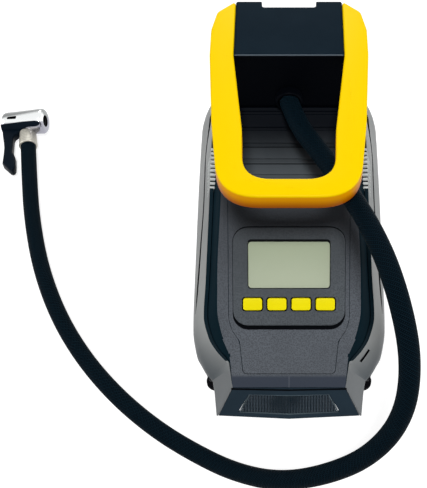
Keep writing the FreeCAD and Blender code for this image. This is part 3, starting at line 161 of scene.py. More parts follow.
CAD_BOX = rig.bounds()
NODES = frame["nodes"]
MM = 0.001


# Frame of the front slope, as in the CAD model, in degrees and millimetres
SLOPE = math.radians(41.6)
NOSE_FRONT = 115.0
NOSE_RISE = 27.0
ON_SLOPE = Matrix.Translation((0, -NOSE_FRONT * MM, NOSE_RISE * MM)) @ Matrix.Rotation(SLOPE, 4, "X")
WALL = 2.6
RIM = 16.0
TOWER_FRONT = 33.0
TOWER_BACK = 84.5
REAR = 128.0
SHOULDER_TOP = 158.0
SHELF_TOP = 96.0

# What the finishes follow: seams of the deck along the slope, the turned barrel and the hose's braid
DECK_SEAMS = (158.2, 169.6, 197.3)
BARREL_MIDDLE = Vector((-229.8, 148.3, 12.4))
BARREL_TURN = math.radians(3.8)
BRAID_ENDS = 20
BRAID_PITCH = 1.35 * MM
BRAID_DEPTH = 0.28


class Value:
    """A shader socket that takes part in Python arithmetic."""

    def __init__(self, tree, socket):
        self.tree = tree
        self.socket = socket

    def math(self, operation, *others):
        return self.tree.node("ShaderNodeMath", [self, *others], operation=operation)

    __add__ = __radd__ = partialmethod(math, "ADD")
    __mul__ = partialmethod(math, "MULTIPLY")
    __sub__ = partialmethod(math, "SUBTRACT")
    __truediv__ = partialmethod(math, "DIVIDE")

    def __rsub__(self, other):
        return self.tree.node("ShaderNodeMath", [other, self], operation="SUBTRACT")

    def wave(self):
        """Cosine of a number of turns, from 0 to 1."""
        return (self * (2 * math.pi)).math("COSINE") * 0.5 + 0.5

    def step(self, low, high):
        """0 below low, 1 above high, and a soft rise between them."""
        inputs = {"Value": self, "From Min": low, "From Max": high}
        return self.tree.node("ShaderNodeMapRange", inputs, interpolation_type="SMOOTHSTEP")


class Tree:
    """A tree of shader nodes."""

    def __init__(self, owner):
        owner.use_nodes = True
        self.tree = owner.node_tree

    def join(self, node, socket, value):
        """Give a node's socket a number, a colour or a value of the tree."""
        if isinstance(value, Value):
            self.tree.links.new(value.socket, node.inputs[socket])
        else:
            node.inputs[socket].default_value = value

    def node(self, kind, inputs=(), output=0, **settings):
        """Add a node with its inputs and settings, and return one of its outputs."""
        made = self.tree.nodes.new(kind)
        for name, setting in settings.items():
            setattr(made, name, setting)
        for socket, value in inputs.items() if isinstance(inputs, dict) else enumerate(inputs):
            self.join(made, socket, value)
        return Value(self, made.outputs[output])

    def shown_rays(self):
        """1 for rays that come from the camera, a gloss or a clear piece."""
        camera, gloss, clear = [self.node("ShaderNodeLightPath", output="Is %s Ray" % kind)
                                for kind in ("Camera", "Glossy", "Transmission")]
        return camera.math("MAXIMUM", gloss).math("MAXIMUM", clear)


class Finish(Tree):
    """A procedural material with one principled shader."""

    def __init__(self, name, colour, roughness, specular=0.5, **fixed):
        self.material = bpy.data.materials.new(name)
        super().__init__(self.material)
        self.shader = self.tree.nodes["Principled BSDF"]
        fixed.update({"Base Color": (*colour, 1.0), "Roughness": roughness, "Specular IOR Level": specular})
        for socket, number in fixed.items():
            self.set(socket, number)

    def set(self, socket, value):
        """Give a socket of the shader its value."""
        self.join(self.shader, socket, value)

    def across(self, axes, source="Object"):
        """Coordinates on some axes, in metres of the part's frame or on the UV chart."""
        point = self.node("ShaderNodeTexCoord", output=source)
        return [self.node("ShaderNodeSeparateXYZ", [point], axis) for axis in axes]

    def millimetres(self, axes):
        """Coordinates on some axes of the part's frame, in millimetres."""
        return [value * 1000.0 for value in self.across(axes)]

    def texture(self, kind, scale, output=0, **inputs):
        """A texture in the part's frame with so many cells in a metre."""
        point = self.node("ShaderNodeTexCoord", output="Object")
        return self.node(kind, {"Vector": point, "Scale": scale, **inputs}, output)

    def noise(self, scale, detail=2.0, roughness=0.5):
        """Soft noise."""
        return self.texture("ShaderNodeTexNoise", scale, Detail=detail, Roughness=roughness)

    def grain(self, fine, flow=28.0):
        """Eroded grain and slow flow marks of moulded plastic."""
        return self.noise(fine, 3.0, 0.6), self.noise(flow, 4.0, 0.55)

    def tint(self, share, first, second):
        """Mix two colours by a share."""
        colours = [(*colour, 1.0) if isinstance(colour, tuple) else colour for colour in (first, second)]
        return self.node("ShaderNodeMix", {0: share, 6: colours[0], 7: colours[1]}, 2, data_type="RGBA")

    def done(self, colour, roughness, height=None, depth=0.0, strength=1.0):
        """The material with its colour, its roughness and a relief: a height from 0 to 1, times a
        depth in millimetres."""
        self.set("Base Color", colour)
        self.set("Roughness", roughness)
        if height:
            inputs = {"Strength": strength, "Distance": depth * MM, "Height": height}
            self.set("Normal", self.node("ShaderNodeBump", inputs, "Normal"))
        return self.material


def darker(colour, share):
    """The same colour at a share of its light."""
    return tuple(channel * share for channel in colour)


def moulded(name, colour, roughness, grain=1500.0, depth=0.03, shade=0.12, specular=0.35):
    """Moulded plastic: eroded grain, faint flow marks and uneven gloss."""
    finish = Finish(name, colour, roughness, specular)
    fine, flow = finish.grain(grain)
    mark = flow * 0.7 + fine * 0.3
    mixed = finish.tint(mark.step(0.35, 0.65), darker(colour, 1 - shade), darker(colour, 1 + shade))
    return finish.done(mixed, roughness - 0.06 + mark * 0.12, fine, depth)


def handle_finish():
    """Yellow plastic of the handle, with painted shade that deepens its flanks towards orange."""
    finish = Finish("Yellow", (0.97, 0.66, 0.0), 0.38, 0.03)
    [z] = finish.millimetres("Z")
    fine, flow = finish.grain(1700.0)
    # Painted shade: below the top the flanks turn a darker orange, as if in shadow
    flank = finish.tint(z.step(193.5, 203.0), (0.42, 0.085, 0.0), (0.88, 0.36, 0.0))
    above = (z + flow * 0.3).step(203.4, 205.3)
    return finish.done(finish.tint(above, flank, (0.97, 0.66, 0.0)), 0.34 + flow * 0.1, fine, 0.02)


def shell_finish():
    """Grey shells: satin and darker towards the rear, with painted shade that darkens them towards the floor and gives
    the cheeks a flat tone of their own.
    """
    finish = Finish("GreyShell", (0.28, 0.29, 0.285), 0.45, 0.12)
    y, z = finish.millimetres("YZ")
    fine, flow = finish.grain(1500.0, 26.0)
    # Painted shade: darker towards the floor
    low = (z + flow * 8.0).step(20.0, 66.0)
    rear = (y + flow * 20.0).step(-70.0, 10.0)
    upper = finish.tint(rear, (0.34, 0.35, 0.345), (0.225, 0.235, 0.235))
    side = finish.tint(low, (0.088, 0.100, 0.109), upper)
    # Painted shade: a flat tone on the cheeks in front of the crease
    behind = y.step(-105.6, -105.2)
    return finish.done(finish.tint(behind, (0.160, 0.170, 0.176), side), 0.40 + flow * 0.12, fine, 0.02)


def tower_finish():
    """Tower: bluish matt plastic, with painted shade that turns its front face around the hose black and a painted
    highlight along the edge above it.
    """
    finish = Finish("Tower", (0.010, 0.021, 0.033), 0.5, 0.016)
    y, z = finish.millimetres("YZ")
    fine, flow = finish.grain(1300.0)
    top = finish.tint(flow.step(0.3, 0.7), (0.0030, 0.0100, 0.0175), (0.0050, 0.0130, 0.0215))
    # Painted highlight: a light line along the top front edge
    painted_light = y.step(32.9, 33.2) * (1 - y.step(33.6, 34.1)) * z.step(204.7, 205.2)
    # Painted shade: the front face is darkened to near black
    dark = finish.tint(y.step(33.2, 34.0), (0.0008, 0.0013, 0.0025), top)
    return finish.done(finish.tint(painted_light, dark, (0.09, 0.115, 0.14)), 0.42 + flow * 0.12, fine, 0.03)


def deck_finish():
    """Slats of bluish plastic, with the tower's shadow painted black near it and painted shade along the seams."""
    finish = Finish("Deck", (0.04, 0.05, 0.06), 0.5, 0.02)
    y, z = finish.millimetres("YZ")
    fine, flow = finish.grain(1300.0, 24.0)
    # Painted shadow of the tower: black near it and fading towards the display
    tower_shadow = (y + flow * 10.0).step(-5.0, 29.0)
    along = (y + NOSE_FRONT) * math.cos(SLOPE) + (z - NOSE_RISE) * math.sin(SLOPE)
    painted_light = finish.tint(tower_shadow, (0.075, 0.087, 0.096), (0.001, 0.002, 0.004))
    # Painted shade along the seams between the slats
    first, second, third = [1 - (along - place).math("ABSOLUTE").step(0.25, 0.6) for place in DECK_SEAMS]
    seam_shade = first.math("MAXIMUM", second).math("MAXIMUM", third)
    mixed = finish.tint(seam_shade * 0.85, painted_light, (0.002, 0.003, 0.004))
    return finish.done(mixed, 0.42 + flow * 0.14, fine, 0.03)


def grained(name, colour, roughness):
    """Coarse spark-eroded plastic that glitters in side light, with painted shade that darkens it towards the top. Its
    front strip is smooth, with a painted highlight along its middle seam.
    """
    finish = Finish(name, colour, roughness, 0.06)
    pits = finish.texture("ShaderNodeTexVoronoi", 1000.0 / 0.9, "Distance")
    fine = finish.noise(2600.0)
    broad = finish.noise(22.0, 3.0)
    height = pits * 0.7 + fine * 0.3
    x, y = finish.millimetres("XY")
    # Painted shade: darker towards the top, under the handle
    painted_light = (y + broad * 14.0).step(-75.0, 5.0)
    light = finish.tint(height.step(0.25, 0.62), darker(colour, 0.72), darker(colour, 1.3))
    patchy = finish.tint(broad.step(0.3, 0.7) * 0.35, light, darker(colour, 0.8))
    # Painted highlight: a light line along the middle seam
    seam_glint = 1 - x.math("ABSOLUTE").step(0.08, 0.3)
    smooth = finish.tint(seam_glint, (0.040, 0.049, 0.068), (0.11, 0.125, 0.15))
    grain = finish.tint(painted_light, patchy, darker(colour, 0.5))
    mixed = finish.tint(y.step(-110.0, -107.6), smooth, grain)
    return finish.done(mixed, roughness + fine * 0.15 - 0.07, height, 0.09)


def metal(name, colour, roughness, grain=900.0, depth=0.01, marks=0.25):
    """Bare metal with fine scratches and dull patches."""
    finish = Finish(name, colour, roughness, Metallic=1.0)
    scratch = finish.noise(grain, 4.0, 0.7)
    dull = finish.noise(60.0, 3.0).step(0.45, 0.75) * marks
    mixed = finish.tint(dull, colour, darker(colour, 0.7))
    return finish.done(mixed, roughness + dull * 0.3 + scratch * 0.05, scratch, depth)


def rubber(name, colour, roughness):
    """Matt rubber with a dusty bloom."""
    finish = Finish(name, colour, roughness, 0.05)
    dust = finish.noise(240.0, 5.0, 0.65)
    mixed = finish.tint(dust.step(0.5, 0.8) * 0.5, colour, darker(colour, 2.2))
    return finish.done(mixed, roughness + dust * 0.1, dust, 0.05)


def ferrule_finish():
    """Warm nickel with crimped rings around it."""
    finish = Finish("FerruleNickel", (0.42, 0.41, 0.36), 0.5, Metallic=1.0)
    x, y = finish.millimetres("XY")
    marks = finish.noise(900.0, 4.0, 0.7)
    along = y * math.cos(BARREL_TURN) - x * math.sin(BARREL_TURN)
    rings = (along / 1.9).wave()
    mixed = finish.tint(rings * 0.7 + marks * 0.3, (0.34, 0.33, 0.28), (0.56, 0.54, 0.49))
    return finish.done(mixed, 0.45 + marks * 0.15, rings, 0.12)


def chrome_finish():
    """Chrome of the barrel, with painted reflections in bands around its axis: bright on its upper front, dark below
    it and from the top back.
    """
    finish = Finish("ChromeBarrel", (0.8, 0.81, 0.82), 0.2, Metallic=1.0)
    x, y, z = [value - middle for value, middle in zip(finish.millimetres("XYZ"), BARREL_MIDDLE)]
    back = y * math.cos(BARREL_TURN) - x * math.sin(BARREL_TURN)
    turn = z.math("ARCTAN2", back * -1.0) * (180 / math.pi)
    marks = finish.noise(500.0, 4.0, 0.6)
    # Painted reflections: a bright band between a dark lower front and a dark top
    upper = (turn + marks * 5.0).step(84.0, 106.0)
    lower = (turn + marks * 4.0).step(46.0, 58.0)
    front = finish.tint(lower, (0.33, 0.33, 0.38), (0.88, 0.90, 0.90))
    return finish.done(finish.tint(upper, front, (0.27, 0.28, 0.28)), 0.16 + marks * 0.1, marks, 0.003)


def window_finish():
    """Clear plastic sheet with smears."""
    finish = Finish("WindowClear", (0.05, 0.06, 0.05), 0.06, 0.05, Alpha=0.04)
    finish.set("Roughness", 0.06 + finish.noise(90.0, 3.0).step(0.5, 0.8) * 0.08)
    return finish.material


def board_finish():
    """Circuit board: solder mask over fine tracks."""
    green = (0.012, 0.085, 0.04)
    finish = Finish("BoardGreen", green, 0.35)
    x, y = finish.across("XY")
    tracks = (x * 520.0 + y * 90.0).wave() * (y * 410.0 - x * 60.0).wave()
    mask = tracks.step(0.35, 0.45)
    return finish.done(finish.tint(mask, green, darker(green, 1.9)), 0.35, mask, 0.03)


def braid_finish():
    """Woven cover of the hose, with painted highlights on the threads' crests and painted shade between them. UV:
    turns around the hose, and diamonds along it.
    """
    finish = Finish("HoseBraid", (0.004, 0.009, 0.014), 0.42, 0.01)
    around, along = finish.across("XY", "UV")
    left = (along + around * BRAID_ENDS).wave()
    right = (along - around * BRAID_ENDS).wave()
    over = (along * 0.5 + around * BRAID_ENDS * 0.5).wave().step(0.35, 0.65)
    height = left.math("POWER", 0.6) * over + right.math("POWER", 0.6) * (1 - over)
    thread = height * 0.8 + finish.noise(2300.0) * 0.2
    # Painted light: thread crests lighter, the hollows between them near black
    mixed = finish.tint(thread.step(0.45, 0.95), (0.0001, 0.0006, 0.0018), (0.0055, 0.0165, 0.0255))
    return finish.done(mixed, 0.62 - thread * 0.25, thread, BRAID_DEPTH, 0.9)


def lens_finish():
    """Smoked lens with upright ribs, with their light and shade painted in stripes."""
    finish = Finish("LensClear", (0.01, 0.02, 0.03), 0.2, 0.15, Alpha=0.9)
    x, z = finish.millimetres("XZ")
    ribs = (x / 2.05).wave()
    facets = (z / 1.7).wave()
    cloud = finish.noise(45.0, 3.0)
    # Painted light and shade: stripes along the ribs and rows
    share = ribs * (0.65 + facets * 0.35) * cloud.step(0.3, 0.62)
    return finish.done(finish.tint(share, (0.007, 0.014, 0.021), (0.045, 0.060, 0.075)), 0.18 + ribs * 0.15)


def screen_finish():
    """Blank reflective display, with painted shade that darkens it towards its upper edge."""
    finish = Finish("DisplayScreen", (0.42, 0.47, 0.33), 0.35, 0.3)
    [y] = finish.millimetres("Y")
    faint = finish.noise(30.0, 3.0)
    # Painted shade towards the upper edge
    painted_upper_shade = (y + faint * 6.0).step(-62.0, -30.0)
    return finish.done(finish.tint(painted_upper_shade, (0.50, 0.56, 0.41), (0.37, 0.43, 0.29)), 0.3 + faint * 0.1)


def alone(*objects):
    """Leave only these objects selected, the first one active."""
    bpy.ops.object.select_all(action="DESELECT")
    for item in objects:
        item.select_set(True)
    bpy.context.view_layer.objects.active = objects[0]


def finished(piece, name, body="housing", angle=32.0):
    """Name a piece, set its place into its mesh, smooth it and let it ride on a body."""
    piece.name = name
    piece.data.name = name
    alone(piece)
    bpy.ops.object.transform_apply(location=True, rotation=True, scale=True)
    bpy.ops.object.shade_smooth_by_angle(angle=math.radians(angle))
    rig.ride(piece, body)
    return piece


def modified(piece, kind, **settings):
    """Add a modifier and apply it."""
    alone(piece)
    modifier = piece.modifiers.new(kind.title(), kind)
    for setting, value in settings.items():
        setattr(modifier, setting, value)
    bpy.ops.object.modifier_apply(modifier=modifier.name)
    return piece


def soft_edges(piece, width, segments, angle):
    """Round the edges that are sharper than an angle."""
    return modified(piece, "BEVEL", width=width * MM, segments=segments, limit_method="ANGLE",
                    angle_limit=math.radians(angle), use_clamp_overlap=True)


def cut(piece, *tools):
    """Cut tools out of a piece, then remove them."""
    for tool in tools:
        modified(piece, "BOOLEAN", operation="DIFFERENCE", solver="EXACT", material_mode="TRANSFER",
                 object=tool)
        bpy.data.objects.remove(tool)
    return piece


# Steps for edited: weld points that coincide, and turn the faces outwards
WELD = (bpy.ops.mesh.remove_doubles, {"threshold": 0.001 * MM})
OUTWARDS = (bpy.ops.mesh.normals_make_consistent, {"inside": False})


def edited(piece, *steps):
    """Run steps on the whole mesh of a piece in edit mode."""
    alone(piece)
    bpy.ops.object.mode_set(mode="EDIT")
    for step, settings in steps:
        bpy.ops.mesh.select_all(action="SELECT")
        step(**settings)
    bpy.ops.object.mode_set(mode="OBJECT")
    return piece


def copied(piece):
    """A copy of a piece with its own mesh."""
    alone(piece)
    bpy.ops.object.duplicate()
    return bpy.context.object


def dressed(node, bevel, finish):
    """Show a copy of a CAD node whose sharp edges are worn round."""
    piece = edited(copied(NODES[node]), (bpy.ops.mesh.remove_doubles, {"threshold": 0.002 * MM}),
                   (bpy.ops.mesh.dissolve_limited, {"angle_limit": math.radians(0.5)}))
    soft_edges(piece, bevel, 3, 34)
    piece.data.materials.clear()
    piece.data.materials.append(FINISHES[finish])
    finished(piece, node + "_dress", BODIES[node])
    modified(piece, "WEIGHTED_NORMAL", keep_sharp=True)
    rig.replaces(piece, node)
    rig.slot(piece, SLOTS[node])
    return piece


def sheet_of(columns, rows, place, closed=False):
    """A grid whose points are put in place by a function of its column and row."""
    bpy.ops.mesh.primitive_grid_add(x_subdivisions=columns - 1, y_subdivisions=rows - 1, size=1.0)
    piece = bpy.context.object
    for vertex in piece.data.vertices:
        column = round((vertex.co.x + 0.5) * (columns - 1))
        row = round((vertex.co.y + 0.5) * (rows - 1))
        vertex.co = place(column, row)
    return edited(piece, WELD, OUTWARDS) if closed else piece


def slab(outline, low, high, corner=0.0):
    """A plate with a plan outline in millimetres and rounded corners, upright on its own plane."""
    bpy.ops.mesh.primitive_circle_add(vertices=len(outline), fill_type="NGON")
    piece = bpy.context.object
    for vertex, (x, y) in zip(piece.data.vertices, outline):
        vertex.co = (x * MM, y * MM, low * MM)
    rounding = (bpy.ops.mesh.bevel, {"affect": "VERTICES", "offset": corner * MM, "segments": 6})
    rise = {"value": (0, 0, (high - low) * MM)}
    raised = (bpy.ops.mesh.extrude_region_move, {"TRANSFORM_OT_translate": rise})
    return edited(piece, *([rounding] if corner > 0 else []), raised, OUTWARDS)


def box(low, high):
    """A box between two corners in millimetres."""
    middle = [(a + b) / 2 * MM for a, b in zip(low, high)]
    sides = [(b - a) * MM for a, b in zip(low, high)]
    bpy.ops.mesh.primitive_cube_add(size=1.0, location=middle, scale=sides)
    bpy.ops.object.transform_apply(location=True, rotation=True, scale=True)
    return bpy.context.object


def moved(piece, matrix):
    """Move a piece's mesh."""
    piece.data.transform(matrix)
    return piece


def mirrored(piece):
    """A copy of a piece on the user's left, with its faces turned outwards again."""
    twin = moved(copied(piece), Matrix.Scale(-1, 4, Vector((1, 0, 0))))
    return edited(twin, (bpy.ops.mesh.flip_normals, {}))


def faces_painted(piece, finish, chosen, frame=Matrix()):
    """Give the faces that a test chooses by normal and place in a frame another finish."""
    piece.data.materials.append(FINISHES[finish])
    for face in piece.data.polygons:
        if chosen(face.normal, *[value / MM for value in frame @ face.center]):
            face.material_index = len(piece.data.materials) - 1


def slope_z(y):
    """Height of the front slope."""
    return NOSE_RISE + (y + NOSE_FRONT) * math.tan(SLOPE)


# Side shell from front to rear: Y, half width and height of its upper edge, half width and height
# of its shoulder
STATIONS = (
    (-101.0, 43.8, slope_z(-101.0) - 1.8, 59.4, 22.0),
    (-94.0, 51.4, slope_z(-94.0) - 4.0, 63.2, 27.0),
    (-86.0, 57.0, slope_z(-86.0) - 6.5, 67.4, 33.0),
    (-73.0, 60.6, slope_z(-73.0) - 9.0, 70.0, 39.5),
    (-55.0, 59.0, slope_z(-55.0) - 9.0, 70.4, 43.0),
    (-15.0, 56.2, slope_z(-15.0) - 11.0, 70.4, 49.0),
    (TOWER_FRONT, 53.0, slope_z(TOWER_FRONT) - 19.0, 70.4, 57.0),
    (95.0, 49.5, 103.0, 70.4, 65.0),
    (106.0, 49.0, 96.0, 69.6, 64.0),
    (118.0, 48.0, 89.0, 67.0, 63.0),
    (REAR, 46.0, 84.0, 62.0, 62.0),
)


def eased(table, at, column):
    """Smooth value of a column between the rows of a table, without overshoot."""
    places = [row[0] for row in table]
    values = [row[column] for row in table]
    if at <= places[0] or at >= places[-1]:
        return values[0] if at <= places[0] else values[-1]
    index = max(i for i in range(len(places) - 1) if places[i] <= at)
    rises = [(b - a) / (q - p) for a, b, p, q in zip(values, values[1:], places, places[1:])]

    def tangent(i):
        if i == 0 or i == len(values) - 1:
            return rises[min(i, len(rises) - 1)]
        before, after = rises[i - 1], rises[i]
        return 0.0 if before * after <= 0 else 2 * before * after / (before + after)

    span = places[index + 1] - places[index]
    t = (at - places[index]) / span
    first, last = values[index], values[index + 1]
    return (
        first * (1 + 2 * t) * (1 - t) ** 2 + tangent(index) * span * t * (1 - t) ** 2
        + last * t * t * (3 - 2 * t) - tangent(index + 1) * span * t * t * (1 - t))


def spline(table, count):
    """Places in a table of stations, so many between each pair."""
    places = []
    for first, second in zip(table, table[1:]):
        places += [first[0] + (second[0] - first[0]) * step / count for step in range(count)]
    return places + [table[-1][0]]


def lengths(points):
    """Length along a line at each of its points."""
    reach = [0.0]
    for first, second in zip(points, points[1:]):
        reach.append(reach[-1] + (second - first).length)
    return reach


def along_line(points, share):
    """The point at a share of a line's length."""
    reach = lengths(points)
    goal = share * reach[-1]
    for index in range(len(points) - 1):
        if reach[index + 1] >= goal - 1e-9:
            part = (goal - reach[index]) / max(reach[index + 1] - reach[index], 1e-9)
            return points[index].lerp(points[index + 1], part)
    return points[-1].copy()


# Finishes by the part's material slots
FINISHES = {
    "yellow_plastic": handle_finish(),
    "grey_shell": shell_finish(),
    "fin_grey": moulded("FinGrey", (0.58, 0.61, 0.60), 0.4, 1500.0, 0.02, 0.05, 0.12),
    "neck_plastic": moulded("Neck", (0.040, 0.049, 0.068), 0.4, 1500.0, 0.01, 0.08, 0.05),
    "nose_plastic": moulded("Nose", (0.016, 0.028, 0.040), 0.42, 1500.0, 0.01, 0.08, 0.05),
    "dark_core": moulded("DarkCore", (0.0035, 0.012, 0.018), 0.45, 1500.0, 0.02, 0.15, 0.018),
    "tower_plastic": tower_finish(),
    "deck_plastic": deck_finish(),
    "panel_plastic": grained("Panel", (0.088, 0.098, 0.113), 0.6),
    "bezel_plastic": grained("Bezel", (0.075, 0.085, 0.095), 0.55),
    "base_plastic": moulded("Base", (0.006, 0.007, 0.009), 0.5, 1300.0, 0.04, 0.15, 0.04),
    "foot_rubber": rubber("FootRubber", (0.002, 0.002, 0.003), 0.7),
    "lcd_glass": window_finish(),
    "lens_clear": lens_finish(),
    "reflector": metal("Reflector", (0.8, 0.82, 0.84), 0.12, 300.0, 0.004, 0.1),
    "led": moulded("LedDome", (0.75, 0.74, 0.5), 0.3, 900.0, 0.01, 0.06),
    "lcd_body": moulded("DisplayModule", (0.32, 0.37, 0.29), 0.4, 1200.0, 0.01, 0.04),
    "board_green": board_finish(),
    "spacer_nylon": moulded("SpacerNylon", (0.62, 0.61, 0.57), 0.45, 900.0, 0.02, 0.05),
    "switch_body": moulded("SwitchBody", (0.02, 0.02, 0.022), 0.4, 1500.0, 0.02, 0.2),
    "gear_nylon": moulded("GearNylon", (0.7, 0.68, 0.6), 0.42, 800.0, 0.02, 0.05),
    "steel": metal("Steel", (0.46, 0.46, 0.47), 0.3),
    "cast_alloy": metal("CastAlloy", (0.52, 0.53, 0.54), 0.48, 500.0, 0.05, 0.5),
    "magnet": metal("Magnet", (0.1, 0.1, 0.11), 0.55, 700.0, 0.03, 0.4),
    "fan_plastic": moulded("FanPlastic", (0.03, 0.03, 0.033), 0.4, 1200.0, 0.02, 0.2),
    "screw_steel": metal("ScrewSteel", (0.24, 0.24, 0.25), 0.38, 1200.0, 0.01, 0.4),
    "blade_brass": metal("BladeBrass", (0.72, 0.5, 0.2), 0.3, 900.0, 0.01, 0.4),
    "silicone_tube": moulded("SiliconeTube", (0.62, 0.63, 0.62), 0.35, 700.0, 0.01, 0.05),
    "hose_braid": braid_finish(),
    "ferrule_nickel": ferrule_finish(),
    "chrome": metal("Chrome", (0.70, 0.71, 0.72), 0.22, 700.0, 0.003, 0.2),
    "chrome_barrel": chrome_finish(),
    "lever_black": moulded("LeverBlack", (0.003, 0.007, 0.013), 0.35, 1600.0, 0.015, 0.15, 0.04),
    "black_line": moulded("BlackLine", (0.0015, 0.002, 0.003), 0.7, 1500.0, 0.01, 0.2, 0.02),
    "button_yellow": moulded("ButtonYellow", (0.92, 0.79, 0.004), 0.36, 1700.0, 0.015, 0.03, 0.05),
    "lcd_screen": screen_finish(),
    # Lighter finish of the lens's bead: a painted highlight
    "lens_rim": moulded("LensRim", (0.07, 0.095, 0.11), 0.45, 1500.0, 0.01, 0.1, 0.05),
    "seal_rubber": rubber("SealRubber", (0.012, 0.012, 0.013), 0.6),
}


# Finishes that are a shade of a slot of the record
SHADE_OF = {
    "black_line": "dark_core",
    "fin_grey": "grey_shell",
    "neck_plastic": "dark_core",
    "nose_plastic": "dark_core",
    "chrome_barrel": "chrome",
    "button_yellow": "yellow_plastic",
    "lcd_screen": "lcd_body",
    "lens_rim": "lens_clear",
}
SLOTS = {part["node"]: part["material_slot"] for part in frame["record"]["subparts"]}
BODIES = {node: body for body, members in frame["record"]["behaviour"]["bodies"].items() for node in members}

# Every CAD node gets its finish; the visible ones are replaced further down
for node, item in NODES.items():
    item.data.materials.clear()
    item.data.materials.append(FINISHES[SLOTS[node]])


def painted(piece, finish, *nodes):
    """Give a piece its finish, and let it stand for CAD nodes."""
    piece.data.materials.clear()
    piece.data.materials.append(FINISHES[finish])
    if nodes:
        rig.replaces(piece, *nodes)
    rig.slot(piece, SHADE_OF.get(finish, finish))
    return piece


# Hose: the same route as in the CAD model
HOSE_ROUTE = (
    (0.0, 28.35, 167.6), (6.0, 5.0, 169.5), (18.0, -18.0, 173.5), (34.0, -52.0, 179.5),
    (52.6, -97.0, 184.0), (64.0, -133.0, 174.0), (71.0, -160.0, 149.0), (68.0, -179.0, 116.0),
    (50.0, -190.0, 85.0), (22.0, -192.0, 58.0), (-8.0, -187.0, 34.0), (-38.0, -172.5, 14.0),
    (-66.0, -156.0, 6.5), (-95.0, -138.0, 6.5), (-125.0, -113.0, 6.5), (-153.0, -82.0, 6.5),
    (-177.5, -45.0, 6.5), (-197.5, -1.0, 6.5), (-211.5, 46.0, 6.5), (-219.7, 88.0, 9.2),
    (-226.6, 126.5, 9.2),
)
HOSE_RADIUS = 6.5 * MM
HOSE_SIDES = 24
HOSE_STEP = 2.2 * MM


def route_points():
    """Evenly spaced points along a smooth curve through the route's control points, and its length."""
    curve = bpy.data.curves.new("HoseRoute", "CURVE")
    curve.dimensions = "3D"
    curve.resolution_u = 40
    line = curve.splines.new("NURBS")
    line.points.add(len(HOSE_ROUTE) - 1)
    for point, place in zip(line.points, HOSE_ROUTE):
        point.co = (place[0] * MM, place[1] * MM, place[2] * MM, 1.0)
    line.order_u = 3
    line.use_endpoint_u = True
    holder = bpy.data.objects.new("HoseRoute", curve)
    bpy.context.scene.collection.objects.link(holder)
    drawn = bpy.data.meshes.new_from_object(holder.evaluated_get(bpy.context.evaluated_depsgraph_get()))
    raw = [vertex.co.copy() for vertex in drawn.vertices]
    bpy.data.objects.remove(holder)
    bpy.data.curves.remove(curve)
    bpy.data.meshes.remove(drawn)
    long = lengths(raw)[-1]
    count = round(long / HOSE_STEP)
    return [along_line(raw, index / count) for index in range(count + 1)], long


def tube(points, radius, sides):
    """A closed tube along points, with UV: turns around and pitches along."""
    side = Vector((1, 0, 0)).cross(points[1] - points[0]).normalized()
    frames = []
    for index, point in enumerate(points):
        ahead = (points[min(index + 1, len(points) - 1)] - points[max(index - 1, 0)]).normalized()
        side = (side - ahead * side.dot(ahead)).normalized()
        frames.append((point, side.copy(), ahead.cross(side)))

    def place(column, row):
        point, first, second = frames[row]
        angle = 2 * math.pi * column / sides
        return point + first * radius * math.cos(angle) + second * radius * math.sin(angle)

    piece = sheet_of(sides + 1, len(points), place)
    chart = piece.data.uv_layers[0]
    long = HOSE_STEP / BRAID_PITCH
    for loop in piece.data.loops:
        row, column = divmod(loop.vertex_index, sides + 1)
        chart.data[loop.index].uv = (column / sides, row * long)
    edited(piece, WELD)
    bpy.ops.object.mode_set(mode="EDIT")
    bpy.ops.mesh.select_all(action="DESELECT")
    bpy.ops.mesh.select_non_manifold()
    bpy.ops.mesh.edge_face_add()
    bpy.ops.object.mode_set(mode="OBJECT")
    return edited(piece, OUTWARDS)


hose_line, hose_long = route_points()
hose = tube(hose_line, HOSE_RADIUS, HOSE_SIDES)
painted(hose, "hose_braid", "air_hose")
finished(hose, "AirHose", "housing", 60.0)


# Plain CAD pieces that only need worn edges, with the width of each bevel
for node, bevel in (
    ("tower_housing", 0.8), ("front_plate", 0.25), ("ribbed_deck", 0.35), ("battery_rails", 0.6),
    ("rear_cover", 0.8), ("rubber_feet", 0.5), ("hose_socket", 0.3), ("terminal_block", 0.4),
):
    dressed(node, bevel, SLOTS[node])
dressed("lamp_bezel", 0.3, "nose_plastic")


def loft(rings):
    """A closed solid through rings of as many points each, with flat ends."""
    count = len(rings[0])
    middles = [sum(ring, Vector()) / count for ring in (rings[0], rings[-1])]

    def place(column, row):
        if row == 0:
            return middles[0] * MM
        if row == len(rings) + 1:
            return middles[1] * MM
        return rings[row - 1][column % count] * MM

    return sheet_of(count + 1, len(rings) + 2, place, closed=True)


def rounded(before, corner, after, reach, count):
    """Points around a corner, starting and ending at a reach from it."""
    first = corner + (before - corner).normalized() * min(reach, (before - corner).length * 0.5)
    last = corner + (after - corner).normalized() * min(reach, (after - corner).length * 0.5)
    points = []
    for step in range(count + 1):
        t = step / count
        points.append(first * (1 - t) ** 2 + corner * (2 * t * (1 - t)) + last * t * t)
    return points


def rounded_outline(corners):
    """Closed outline from corners, each with the radius that rounds it."""
    outline = []
    for index, (x, y, radius) in enumerate(corners):
        corner = Vector((x, y, 0))
        before = Vector((*corners[index - 1][:2], 0))
        after = Vector((*corners[(index + 1) % len(corners)][:2], 0))
        if radius <= 0:
            outline.append((x, y))
            continue
        bend = (before - corner).angle(after - corner)
        reach = min(radius / math.tan(bend / 2), *(0.49 * (end - corner).length for end in (before, after)))
        outline += [(point.x, point.y) for point in rounded(before, corner, after, reach, 10)]
    return outline


